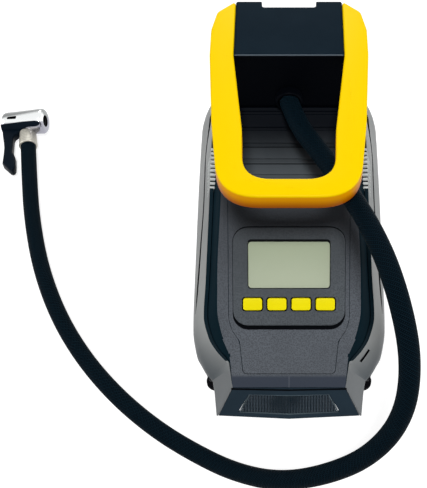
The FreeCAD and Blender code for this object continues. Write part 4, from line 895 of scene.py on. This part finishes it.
# Loop handle: two arms clasp the tower and run forward to the bar
HANDLE_TOP = 205.7
HANDLE_THICK = 12.4
BAR_Y = -81.0
GRIP_Y = -67.6
HANDLE_OUTER = (
    (37.7, TOWER_BACK - 1.5, 0.0), (47.9, TOWER_BACK - 10.5, 7.0), (51.3, TOWER_BACK - 27.0, 16.0),
    (51.3, TOWER_BACK - 50.0, 60.0), (47.4, BAR_Y + 56.0, 150.0), (41.2, BAR_Y, 27.0),
)
HANDLE_INNER = (
    (27.2, GRIP_Y, 17.5), (28.6, BAR_Y + 52.0, 40.0), (35.7, TOWER_FRONT, 0.0),
    (35.7, TOWER_BACK - 1.5, 0.0),
)


def handle():
    """Loop with rounded edges."""
    corners = list(HANDLE_OUTER) + [(-x, y, radius) for x, y, radius in reversed(HANDLE_OUTER)]
    corners += [(-x, y, radius) for x, y, radius in reversed(HANDLE_INNER)] + list(HANDLE_INNER)
    return soft_edges(slab(rounded_outline(corners), HANDLE_TOP - HANDLE_THICK, HANDLE_TOP), 1.7, 5, 60)


finished(painted(handle(), "yellow_plastic", "handle"), "Handle", "housing", 40.0)


# Long pointed groove of a side shell: Y, height, half width
GROOVE = (
    (-66.0, 46.0, 0.2), (-55.0, 53.0, 1.6), (-38.0, 63.0, 2.3), (-16.0, 77.0, 2.6),
    (6.0, 94.5, 2.6), (22.0, 101.0, 2.6), (60.0, 94.0, 2.6), (91.0, 83.5, 2.3), (96.5, 81.8, 0.3),
)
GROOVE_DEEP = 1.9
GROOVE_STEPS = 60
SHOULDER_REACH = 11.0

# Points of a shell's section: above, around and below its shoulder, and of its outer face in all
FLANK_STEPS = 28
SHOULDER_STEPS = 12
FOOT_STEPS = 4
OUTER_COUNT = 24


def station(y):
    """Upper edge and shoulder of the side shell."""
    edge, edge_z, shoulder, shoulder_z = [eased(STATIONS, y, column) for column in (1, 2, 3, 4)]
    return Vector((edge, y, edge_z)), Vector((shoulder, y, shoulder_z))


def profile(y):
    """Outer face of the shell's section, from its upper edge down to its foot, finely divided."""
    top, bend = station(y)
    foot = Vector((bend.x, y, RIM))
    turn = rounded(top, bend, foot, SHOULDER_REACH, SHOULDER_STEPS)
    points = [top.lerp(turn[0], step / FLANK_STEPS) for step in range(FLANK_STEPS)] + turn
    return points + [turn[-1].lerp(foot, (step + 1) / FOOT_STEPS) for step in range(FOOT_STEPS)]


def share_at(points, z):
    """How far down a section a height is, as a share of its length."""
    reach = lengths(points)
    for index, (first, second) in enumerate(zip(points, points[1:])):
        if first.z >= z >= second.z:
            part = (first.z - z) / max(first.z - second.z, 1e-6)
            return (reach[index] + part * (reach[index + 1] - reach[index])) / reach[-1]
    return 0.5


def shell_ring(y):
    """Section of the right side shell: outer face from its upper edge down, then inner face up."""
    points = profile(y)
    outer = [along_line(points, step / (OUTER_COUNT - 1)) for step in range(OUTER_COUNT)]
    top, bend = station(y)
    inward = Vector((-WALL, 0, 0))
    foot = outer[-1] + inward
    inner = rounded(foot, bend + Vector((-WALL, 0, -WALL / 2)), top + inward, SHOULDER_REACH, 4)
    return outer + [foot] + inner + [top + inward]


def bar_ring(middle, down, out, corners):
    """Section of a bar that cuts a shell: places of its corners, down the section and outwards."""
    return [middle + down * fall + out * reach for fall, reach in corners]


def groove_cutter():
    """Pointed bar along the groove's path, black where it cuts."""
    rings = []
    for step in range(GROOVE_STEPS + 1):
        y = GROOVE[0][0] + (GROOVE[-1][0] - GROOVE[0][0]) * step / GROOVE_STEPS
        points = profile(y)
        level, half = eased(GROOVE, y, 1), eased(GROOVE, y, 2)
        share = share_at(points, level)
        middle = along_line(points, share)
        below, above = along_line(points, min(share + 0.02, 1.0)), along_line(points, share - 0.02)
        down = (below - above).normalized()
        out = Vector((-down.z, 0, down.x))
        corners = ((-1, 1.5), (1.75, 1.5), (1.0, -GROOVE_DEEP), (-0.8, -GROOVE_DEEP))
        rings.append(bar_ring(middle, down * half, out, corners))
    return painted(loft(rings), "black_line")


# The shell's front turns in to a slanted crease, where a flat cheek begins that ends at the lamp face
CREASE_TOP = Vector((43.8, -101.0, 37.6))
CREASE_BEND = Vector((55.4, -105.2, 18.6))
CREASE_LOW = Vector((54.6, -105.4, RIM))
LAMP_TOP = (41.2, -115.0, 27.0)
LAMP_LOW = (51.8, -129.5, 11.0)
CHEEK_WALL = 1.2
CHEEK_STEPS = 6
TURN_START = -96.5
TURN_STEPS = 8


def shares_of(ring):
    """How far down the section each point of a ring is, on its outer and its inner face."""
    reach = lengths(ring[:OUTER_COUNT])
    outer = [value / reach[-1] for value in reach]
    reach = lengths(ring[OUTER_COUNT:])
    return outer + [1 - value / reach[-1] for value in reach]


def front_rings():
    """The shell's turned-in front and its cheek, from the lamp back."""
    start = shell_ring(TURN_START)
    behind = shell_ring(TURN_START + 1.0)
    shares = shares_of(start)
    crease, cheek = [], []
    for index, share in enumerate(shares):
        inward = Vector((CHEEK_WALL if index >= OUTER_COUNT else 0.0, 0, 0))
        crease.append(along_line([CREASE_TOP, CREASE_BEND, CREASE_LOW], share) - inward)
        cheek.append(Vector(LAMP_TOP).lerp(Vector(LAMP_LOW), share) - inward)
    rings = [[first.lerp(second, step / CHEEK_STEPS) for first, second in zip(crease, cheek)]
             for step in range(CHEEK_STEPS, 0, -1)]
    rings.append(crease)
    for step in range(TURN_STEPS - 1, 0, -1):
        t = step / TURN_STEPS
        ring = []
        for point, rear, goal, share in zip(start, behind, crease, shares):
            pull = point + (point - rear) * (2.2 + 3.4 * share)
            ring.append(point * (1 - t) ** 2 + pull * (2 * t * (1 - t)) + goal * t * t)
        rings.append(ring)
    return rings


# Louvres in the shell's upper edge: fins over the core's slots
VENT_COUNT = 8
VENT_PITCH = 2.2
VENT_START = -2.0
VENT_WIDE = 1.1
LOUVRE_OUT = 57.6
LOUVRE_IN = 50.6
LOUVRE_FIRST = VENT_START - VENT_PITCH
LOUVRE_LAST = VENT_START + VENT_COUNT * VENT_PITCH + VENT_WIDE


def louvre_notch():
    """Cutter for the notch that the fins stand in."""
    return box((LOUVRE_IN - 2.0, LOUVRE_FIRST, 60.0), (LOUVRE_OUT, LOUVRE_LAST, 150.0))


def louvre_strip(first, last, sink, thick):
    """Bar across the notch that follows the shell's upper slope."""
    rings = []
    for y in (first, last):
        top, bend = station(y)
        fall = (top.z - bend.z) / (bend.x - top.x)
        outer = Vector((LOUVRE_OUT + 0.4, y, top.z - (LOUVRE_OUT + 0.4 - top.x) * fall - sink))
        brow = Vector((min(top.x, LOUVRE_OUT), y, top.z - sink))
        inner = Vector((LOUVRE_IN, y, top.z - 0.4 - sink))
        low = Vector((0, 0, -thick))
        rings.append([outer, brow, inner, inner + low, brow + low, outer + low])
    return loft(rings)


def louvre_fins():
    """Light fins flush with the shell."""
    places = [LOUVRE_FIRST + index * VENT_PITCH for index in range(VENT_COUNT + 2)]
    alone(*[louvre_strip(y, y + VENT_PITCH * 0.46, 0.0, 1.6) for y in places])
    bpy.ops.object.join()
    return painted(bpy.context.object, "fin_grey")


def louvre_floor():
    """Black floor under the fins."""
    return painted(louvre_strip(LOUVRE_FIRST, LOUVRE_LAST, 0.9, 1.2), "black_line")


def side_shell():
    """Grey outer shell on the user's right."""
    places = [y for y in spline(STATIONS, 7) if y > TURN_START] + [TURN_START]
    rings = [shell_ring(y) for y in sorted(set(places))]
    shell = painted(loft(front_rings() + rings), "grey_shell", "right_side_shell")
    return soft_edges(cut(shell, louvre_notch(), groove_cutter()), 0.35, 3, 38)


def on_rim(normal, x, y, z):
    """Whether a face is on the flat rim beside the panel."""
    edge = station(y)[0]
    return y > -100.0 and abs(z - edge.z) < 0.9 and edge.x - WALL - 0.5 < x < edge.x - 0.05


right_shell = side_shell()
faces_painted(right_shell, "dark_core", on_rim)
left_shell = mirrored(right_shell)
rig.replaces(left_shell, "left_side_shell")
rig.slot(left_shell, "grey_shell")


SLIT_HALF = 1.15


def slit_cutter():
    """Short slit near the right shell's crease."""
    first, last = Vector((57.2, -91.1, 38.8)), Vector((50.9, -98.4, 34.3))
    along = (last - first).normalized()
    top, bend = station(-94.0)
    down = (bend - top).normalized()
    out = down.cross(along).normalized()
    out = out if out.z > 0 else -out
    down = along.cross(out).normalized()
    corners = ((-1, 2.5), (1, 2.5), (1, -1.2), (-1, -1.2))
    rings = [bar_ring(point, down * SLIT_HALF, out, corners) for point in (first, last)]
    return painted(loft(rings), "black_line")


cut(right_shell, slit_cutter())
finished(right_shell, "RightShell", "housing", 35.0)
finished(left_shell, "LeftShell", "housing", 35.0)
for made, label in ((louvre_fins, "Fins"), (louvre_floor, "VentFloor")):
    right_piece = made()
    left_piece = mirrored(right_piece)
    finished(right_piece, "Right" + label)
    finished(left_piece, "Left" + label)


# Dark core on the front slope: Y, half width of the panel, half width of the core, drop of the band
CORE = (
    (-115.0, 40.4, 40.6, 0.9), (-101.0, 41.8, 42.3, 1.8), (-97.0, 42.2, 45.0, 2.9),
    (-94.0, 43.6, 48.5, 4.0), (-86.0, 48.0, 54.1, 6.5), (-73.0, 51.0, 57.7, 9.0),
    (-55.0, 50.8, 56.1, 9.0), (-15.0, 48.0, 53.3, 11.0), (33.0, 45.5, 50.1, 19.0),
)
PANEL_ROUND = 2.2
BAND_ROUND = 1.5
CORE_LOW = 17.0
FRONT_WALL = 5.0
SHOULDER_HALF = 45.5
SHOULDER_DROP = 19.0

# Shelf behind the tower: half width of its top, half width of the core, drop of its edge
SHELF = (39.1, 43.1, 6.0)


def core_ring(y, panel, side, drop, top, inset):
    """Section of the right core half, shrunk by a wall where asked."""
    centre = Vector((0, y, top - inset))
    brow = Vector((panel - inset, y, top - inset))
    brink = Vector((side - inset, y, top - drop - inset * 0.6))
    foot = Vector((side - inset, y, CORE_LOW - inset))
    across = [centre.lerp(brow, share) for share in (0.0, 0.5, 0.85)]
    outer = across + rounded(centre, brow, brink, PANEL_ROUND, 5) + rounded(brow, brink, foot, BAND_ROUND, 3)
    return outer + [foot, Vector((0, y, CORE_LOW - inset))]


def core_solid(inset=0.0):
    """Solid of the right core half: slope, shoulder around the tower, back wall and shelf."""
    sunk = Vector((0, 0, inset / math.cos(SLOPE) - inset))
    rings = []
    for y in spline(CORE, 6):
        panel, side, drop = [eased(CORE, y, column) for column in (1, 2, 3)]
        ring = core_ring(y, panel, side, drop, slope_z(y), inset)
        rings.append([point - sunk if point.z > CORE_LOW else point for point in ring])
    if inset:
        rings[0] = [point + Vector((0, FRONT_WALL, 0)) for point in rings[0]]
        rings = [rings[0]] + [ring for ring in rings[1:] if ring[0].y > rings[0][0].y]
    rings += [core_ring(y, SHOULDER_HALF, side, SHOULDER_DROP, SHOULDER_TOP, inset)
              for y, side in ((TOWER_FRONT + 0.5, 50.0), (TOWER_BACK - inset, 46.6))]
    rings += [core_ring(y, *SHELF, SHELF_TOP, inset)
              for y in (TOWER_BACK - inset + 0.01, REAR + (3.0 if inset else 0.0))]
    return loft(rings)


# Pocket of the front plate, on the slope: half width and place along it. A narrow seam shows around it.
PLATE = ((32.4, 10.0), (34.7, 33.4), (40.1, 41.4), (42.3, 49.4), (42.3, 137.0))
SEAM = 0.35
PLATE_DEEP = 1.4


def both_sides(right):
    """Closed outline from the corners of its right side, from low to high."""
    return [(x, along) for x, along in right] + [(-x, along) for x, along in reversed(right)]


def sloped(half, low, high, floor, top, corner=0.0):
    """Rectangular plate on the slope about the middle plane."""
    return moved(slab(both_sides([(half, low), (half, high)]), floor, top, corner), ON_SLOPE)


def core_half():
    """Right half of the core with its pockets and openings."""
    grown = [(x + SEAM, along + (SEAM if along > 130 else -SEAM if along < 20 else 0)) for x, along in PLATE]
    plate_pocket = moved(slab(both_sides(grown), -PLATE_DEEP, 20.0, 3.0), ON_SLOPE)
    display_opening = sloped(33.1, 51.4, 108.6, -8.0, 5.0)
    deck_pocket = sloped(43.2, 138.7, 205.0, -1.5, 30.0)
    tower_hole = box((-36.0, 32.7, 149.7), (36.0, 87.5, 180.0))
    vents = []
    for index in range(VENT_COUNT):
        y = VENT_START + index * VENT_PITCH
        low = slope_z(y) - 10.0
        vents.append(box((46.4, y, low), (60.4, y + VENT_WIDE, low + 6.5)))
    return cut(soft_edges(core_solid(), 0.5, 3, 50), core_solid(WALL), plate_pocket, display_opening,
               deck_pocket, tower_hole, *vents)


SLOPE_OUT = Vector((0, -math.sin(SLOPE), math.cos(SLOPE)))


def on_panel(normal, x, y, z):
    """Whether a face is on the front slope, before the tower."""
    return normal.dot(SLOPE_OUT) > 0.96 and abs(z - slope_z(y)) < 0.5 and y < TOWER_FRONT


right_core = core_half()
painted(right_core, "dark_core", "right_core_half")
faces_painted(right_core, "panel_plastic", on_panel)
left_core = mirrored(right_core)
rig.replaces(left_core, "left_core_half")
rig.slot(left_core, "dark_core")
finished(right_core, "RightCore", "housing", 35.0)
finished(left_core, "LeftCore", "housing", 35.0)


# Base pan with the housing's plan outline
def plan_side():
    """Right side of the housing's plan outline, from the crease to the rear."""
    side = [(CREASE_BEND.x - 0.4, CREASE_BEND.y), (59.4, -102.9)]
    return side + [(station(y)[1].x, y) for y in spline(STATIONS, 4) if y > TURN_START - 1.0]


def plan_outline(inset):
    """Closed plan outline of the base, shrunk by an inset."""
    right = [(x - inset, min(max(y, CREASE_BEND.y + inset), REAR - inset)) for x, y in plan_side()]
    nose = [(49.8 - inset, -124.0 + inset)]
    return both_sides(nose + right)


# Flanks of the pan: height, and how far in from the housing's outline
PAN_LEVELS = ((4.0, 9.0), (4.6, 7.8), (9.0, 3.6), (12.0, 1.6), (RIM, 0.8))

# Radius and depth of the holes that the housing's screws stand in
SCREW_HOLE = (3.2, 3.0)


def base_pan():
    """Shallow pan whose flanks lean in towards the floor, hollow inside."""
    pan = loft([[Vector((x, y, z)) for x, y in plan_outline(inset)] for z, inset in PAN_LEVELS])
    low, inset = PAN_LEVELS[0]
    hollow = slab(plan_outline(WALL + inset), low + WALL, RIM + 4.0)
    below_lamp = box((-70.0, -130.0, 10.7), (70.0, -105.6, 20.0))
    cut(pan, hollow, below_lamp)
    for x in (-40.0, 40.0):
        for y in (-84.0, 6.0, 118.0):
            bpy.ops.mesh.primitive_cylinder_add(radius=SCREW_HOLE[0] * MM, depth=SCREW_HOLE[1] * MM,
                                                vertices=32, location=(x * MM, y * MM, low * MM))
            cut(pan, bpy.context.object)
    return soft_edges(pan, 0.6, 2, 40)


finished(painted(base_pan(), "base_plastic", "base_shell"), "BasePan", "housing", 35.0)


# Raised display plate, its window and its buttons
BEZEL_RISE = 4.2
BUTTON_ALONG = 60.8
BUTTON_PITCH = 16.9
BUTTON_HALF = (6.75, 4.4)
BUTTONS = ("power", "minus", "plus", "mode")


def button_outline(place, grow):
    """Rectangle of a button on the slope, grown by a gap."""
    half_wide, half_tall = [half + grow for half in BUTTON_HALF]
    corners = ((-1, -1), (1, -1), (1, 1), (-1, 1))
    return [(place + a * half_wide, BUTTON_ALONG + b * half_tall) for a, b in corners]


def button_places():
    """Place of each button across the slope."""
    return [(index - 1.5) * BUTTON_PITCH for index in range(len(BUTTONS))]


def display_bezel():
    """Raised plate with rounded shoulders, an opening for the window and four for the buttons."""
    plate = soft_edges(sloped(39.1, 45.4, 114.6, 0.0, BEZEL_RISE, 10.5), 1.1, 4, 60)
    window = sloped(28.9, 71.7, 106.3, 1.0, 9.0, 2.6)
    cavity = sloped(33.0, 51.5, 108.5, -3.0, 2.2, 1.0)
    slots = [moved(slab(button_outline(place, 0.7), 0.5, 9.0, 2.2), ON_SLOPE) for place in button_places()]
    return cut(plate, window, cavity, *slots)


def off_slope(normal, x, y, z):
    """Whether a face looks away from the slope."""
    return normal.dot(SLOPE_OUT) < 0.55


bezel = painted(display_bezel(), "bezel_plastic", "display_bezel")
# Painted shade: faces that turn away from the slope are black
faces_painted(bezel, "black_line", off_slope)
finished(bezel, "Bezel")
# Black plate under the bezel's rim: a painted shadow along its lower edge
finished(painted(sloped(39.5, 42.0, 114.9, -0.3, 0.7, 10.8), "black_line"), "BezelFoot")
# Black frame around the screen, wide along its upper edge
finished(painted(sloped(28.8, 71.8, 106.2, 1.5, 2.3, 2.4), "black_line"), "Gasket")
finished(painted(sloped(28.3, 72.0, 104.4, 2.3, 2.6, 2.2), "lcd_screen"), "Screen")
finished(painted(sloped(28.7, 71.9, 106.1, 2.8, 3.3, 2.4), "lcd_glass", "display_window"), "Glass")


def button_cap():
    """Push button with a softly rounded top, on the middle plane."""
    cap = slab(button_outline(0.0, -0.15), 1.6, BEZEL_RISE + 0.9, 1.8)
    return moved(soft_edges(cap, 0.45, 4, 60), ON_SLOPE)


def repeated(piece, places):
    """Copies of a piece across the part, each with its own mesh. The first place takes the piece itself."""
    copies = [piece] + [copied(piece) for place in places[1:]]
    return [moved(copy, Matrix.Translation((place * MM, 0, 0))) for copy, place in zip(copies, places)]


for label, cap in zip(BUTTONS, repeated(button_cap(), button_places())):
    finished(painted(cap, "button_yellow", "button_" + label), "Button_" + label, label + "_button")


# Lamp: a keeled face with a ribbed lens
KEEL = 2.6
LAMP_OUT = Vector((0, -math.cos(SLOPE), math.sin(SLOPE) * 0.35))
LENS_RIBS = 34
LENS_ROWS = 10
SEAM_HALF = 41.0
SEAM_STEPS = 20


def lamp_point(down, x, out=0.0):
    """A point of the lamp face: down runs from its upper edge to its lower edge."""
    half, y, z = [top + down * (low - top) for top, low in zip(LAMP_TOP, LAMP_LOW)]
    keel = KEEL * (0.35 + 0.65 * down) * (1 - abs(x) / half)
    return Vector((x, y - keel, z)) + LAMP_OUT * out


def ribbed_lens():
    """Lens whose upright ribs catch the light."""
    columns = LENS_RIBS * 6 + 1

    def place(column, row):
        share = row / (LENS_ROWS - 1)
        x = (27.4 + 6.3 * share) * (2 * column / (columns - 1) - 1)
        rib = 0.3 * abs(math.sin(math.pi * LENS_RIBS * column / (columns - 1)))
        return lamp_point(0.25 + 0.57 * share, x, rib - 0.9) * MM

    return modified(sheet_of(columns, LENS_ROWS, place), "SOLIDIFY", thickness=0.8 * MM, offset=-1.0)


def lens_frame():
    """Thin raised bead around the lens, whose lighter finish paints a highlight along it."""
    corners = [(0.235, -28.1), (0.235, 0.0), (0.235, 28.1), (0.835, 34.9), (0.835, 0.0), (0.835, -34.9)]
    rings = []
    middle = lamp_point(0.56, 0.0)
    for down, x in corners + corners[:1]:
        at = lamp_point(down, x)
        away = (at - middle).normalized()
        section = ((-1, -1), (1, -1), (0.6, 1), (-0.6, 1))
        rings.append(bar_ring(at, away * 0.35, LAMP_OUT * 0.3, section))

    def place(column, row):
        return rings[row][column % 4] * MM

    return sheet_of(5, len(rings), place, closed=True)


finished(painted(ribbed_lens(), "lens_clear", "lamp_lens"), "Lens", "housing", 20.0)
finished(painted(lens_frame(), "lens_rim"), "LensFrame", "housing", 30.0)


def lamp_seam():
    """Dark joint between the housing and the lamp face."""

    def place(column, row):
        x = SEAM_HALF * (column / SEAM_STEPS * 2 - 1)
        return lamp_point(0.02 + 0.055 * row, x, 0.12) * MM

    return modified(sheet_of(SEAM_STEPS + 1, 2, place), "SOLIDIFY", thickness=0.3 * MM)


finished(painted(lamp_seam(), "black_line"), "LampSeam")


# Chuck at the hose's end. The ferrule's frame has it along +Y, the barrel's frame has it along X.
# Profiles are places along the axis with their radius.
AT_CHUCK = Matrix.Translation((-0.2266, 0.1265, 0.0092)) @ Matrix.Rotation(math.radians(10.161), 4, "Z")
AT_BARREL = (
    Matrix.Translation(BARREL_MIDDLE * MM)
    @ Matrix.Rotation(math.radians(-10.0), 4, Vector((0.0, 0.824, 0.566)))
    @ Matrix.Rotation(BARREL_TURN, 4, "Z")
)
BARREL_PROFILE = (
    (-21.2, 0.0), (-21.2, 6.6), (-20.9, 7.8), (-20.2, 8.9), (-18.9, 9.6), (-17.0, 9.9), (-8.0, 10.1),
    (4.0, 10.6), (12.2, 11.0), (14.0, 11.0), (15.2, 10.6), (16.0, 9.8), (16.4, 8.6), (16.5, 6.0),
    (16.3, 5.1), (15.7, 4.7), (8.0, 4.7), (8.0, 0.0),
)
FERRULE_PROFILE = (
    (-3.4, 0.0), (-3.4, 7.1), (-3.0, 7.7), (-1.8, 7.9), (-0.6, 7.8), (4.0, 7.6), (9.0, 7.3), (13.0, 7.0),
    (14.4, 6.9), (15.0, 6.5), (15.0, 0.0),
)
SEAL_PROFILE = (
    (8.2, 3.9), (8.2, 4.6), (15.0, 4.6), (15.4, 4.4), (15.4, 4.1), (15.0, 3.9), (8.2, 3.9),
)
COLLAR_PROFILE = ((14.8, 0.0), (14.8, 7.0), (15.3, 7.5), (16.4, 7.5), (17.0, 7.0), (17.0, 0.0))
FLUTE_DEEP = 0.16
SADDLE_LEFT = -20.3
SADDLE_LONG = 35.4
SADDLE_STEPS = 24


def turned(profile, sides, flutes=0):
    """A solid turned about +X from a profile of (place, radius), with shallow flutes where asked."""

    def place(column, row):
        at, radius = profile[row]
        angle = 2 * math.pi * column / sides
        if flutes and 2.0 < at < 9.5:
            radius -= FLUTE_DEEP * (0.5 + 0.5 * math.cos(angle * flutes))
        return Vector((at, radius * math.cos(angle), radius * math.sin(angle))) * MM

    return sheet_of(sides + 1, len(profile), place, closed=True)


def barrel():
    """Chromed barrel with its mouth and a slot."""
    slot = slab([(-14.9, -1.1), (-6.4, -1.5), (-6.4, 1.5), (-14.9, 1.0)], 7.0, 14.0, 1.0)
    moved(slot, Matrix.Rotation(math.radians(13.0), 4, "X"))
    return moved(soft_edges(cut(turned(BARREL_PROFILE, 64), slot), 0.25, 2, 50), AT_BARREL)


def in_barrel(normal, x, y, z):
    """Whether a face is in the barrel's mouth or in its slot."""
    across = math.hypot(y, z)
    return across < 5.0 and x > 5.0 or across < 9.6 and -16.5 < x < -5.5


def along_y(piece):
    """Turn a piece from the +X axis to the +Y axis of the chuck's frame."""
    return moved(piece, AT_CHUCK @ Matrix.Rotation(math.pi / 2, 4, "Z"))


def saddle():
    """Black band along the barrel's lower flank, wider on its left and rounded on its right."""
    rings = []
    for step in range(SADDLE_STEPS + 1):
        x = SADDLE_LEFT + SADDLE_LONG * step / SADDLE_STEPS
        taper = math.sqrt(max(1 - max((x - 9.8) / 5.6, 0.0) ** 2, 0.02))
        left = min(max((3.0 - x) / 8.0, 0.0), 1.0)
        high = 52.0 - 6.0 * min(max(-x / 20.0, 0.0), 1.0)
        low = 26.0 - 44.0 * left * left * (3 - 2 * left)
        middle, half = (high + low) / 2, (high - low) / 2
        angles = [math.radians(middle + half * taper * side) for side in (-1, -0.5, 0, 0.5, 1)]
        rings.append([Vector((x, -radius * math.cos(angle), radius * math.sin(angle)))
                      for radius, line in ((11.2, angles), (9.4, angles[::-1])) for angle in line])
    return moved(loft(rings), AT_BARREL)


LEVER = (
    (-21.4, 19.5), (-21.0, 10.0), (-20.2, 2.0), (-19.9, -4.1), (-20.4, -11.0), (-21.6, -21.5),
    (-18.6, -25.6), (-15.6, -29.6), (-14.0, -30.4), (-12.2, -29.8), (-11.2, -27.6), (-10.9, -22.5),
    (-10.9, -15.6), (-11.8, -12.8), (-13.0, -10.4), (-12.9, -6.0), (-12.4, 1.5), (-12.0, 6.0),
    (-11.0, 8.6), (-8.2, 10.8), (-6.0, 12.5), (-5.4, 18.5),
)


def lever():
    """Thumb lever with soft edges and a waist."""
    return moved(soft_edges(slab(LEVER, -4.4, 4.2), 1.3, 4, 50), AT_CHUCK)


# The chuck's pieces: name, mesh, finish, body and the CAD node that each stands for
CHUCK = []
for label, piece, finish, body, *nodes in (
    ("Ferrule", along_y(turned(FERRULE_PROFILE, 96, 24)), "ferrule_nickel", "housing", "hose_ferrule"),
    ("ChuckBarrel", barrel(), "chrome_barrel", "housing", "chuck_barrel"),
    ("ChuckSaddle", saddle(), "lever_black", "housing", "chuck_saddle"),
    ("Seal", moved(turned(SEAL_PROFILE, 48), AT_BARREL), "seal_rubber", "housing", "chuck_seal"),
    ("ChuckLever", lever(), "lever_black", "lever", "chuck_lever"),
    ("Collar", along_y(turned(COLLAR_PROFILE, 64)), "lever_black", "housing"),
):
    painted(piece, finish, *nodes)
    if label == "ChuckBarrel":
        # Painted shade: the mouth and the slot are black inside
        faces_painted(piece, "black_line", in_barrel, AT_BARREL.inverted())
    CHUCK.append(finished(piece, label, body))


# Camera
PHOTO = (427, 488)
FOCAL = 950.0
SENSOR = 36.0
PRINCIPAL_X = 289.0
camera_data = bpy.data.cameras.new("Camera")
camera_data.sensor_width = SENSOR
camera_data.lens = FOCAL * SENSOR / PHOTO[1]
camera_data.clip_start = 0.01
camera_data.clip_end = 50.0
camera_data.shift_x = -(PRINCIPAL_X - PHOTO[0] / 2) / PHOTO[1]
camera = bpy.data.objects.new("Camera", camera_data)
bpy.context.scene.collection.objects.link(camera)
camera.location = (0.0, -0.413, 0.64025)
camera.rotation_euler = (math.radians(34.5), 0.0, 0.0)
bpy.context.scene.camera = camera
bpy.context.scene.view_settings.view_transform = "Standard"


def lamp(name, place, goal, size, power):
    """A square white area light aimed at a point."""
    light = bpy.data.lights.new(name, "AREA")
    light.size = size
    light.energy = power
    holder = bpy.data.objects.new(name, light)
    bpy.context.scene.collection.objects.link(holder)
    holder.location = place
    holder.rotation_euler = (Vector(goal) - Vector(place)).to_track_quat("-Z", "Y").to_euler()


def floor_finish():
    """Floor that keeps the object's shadow and is white to the camera."""
    finish = Finish("Floor", (0.4, 0.4, 0.4), 0.9, 0.1)
    finish.set("Base Color", finish.tint(finish.noise(3.0), (0.38, 0.38, 0.38), (0.42, 0.42, 0.42)))
    finish.set("Emission Color", (1.0, 1.0, 1.0, 1.0))
    finish.set("Emission Strength", finish.shown_rays() * 0.8)
    return finish.material


bpy.ops.mesh.primitive_plane_add(size=14.0, location=(0, 0, 0))
floor = bpy.context.object
floor.name = "Floor"
floor.data.materials.append(floor_finish())
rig.stage(floor)


lamp("Key", (0.0, -1.36, 2.77), (0, 0, 0.1), 0.45, 72.0)
lamp("Behind", (0.0, 1.6, 0.75), (0, 0, 0.08), 0.8, 13.0)
lamp("SideLeft", (-1.3, 0.05, 0.35), (0, 0, 0.06), 0.6, 5.0)
lamp("SideRight", (1.3, 0.05, 0.35), (0, 0, 0.06), 0.6, 6.0)

# World: white to the camera, in a gloss and through a clear piece, and a faint light elsewhere
world = bpy.data.worlds.new("World")
bpy.context.scene.world = world
sky = Tree(world)
backdrop = sky.tree.nodes["Background"]
level = sky.node("ShaderNodeMapRange", {"Value": sky.shown_rays(), "To Min": 0.07, "To Max": 1.0})
sky.join(backdrop, "Strength", level)
sky.join(backdrop, "Color", (1, 1, 1, 1))

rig.cord(hose, hose_line[0], hose_long, 2 * HOSE_RADIUS, "tool", "medium", "loose", path=hose_line,
        with_pieces=CHUCK + [NODES["lever_pin"]])

low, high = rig.bounds()
json.dump({"cad": [list(corner) for corner in CAD_BOX], "shown": [list(low), list(high)]},
          open("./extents.json", "w"))
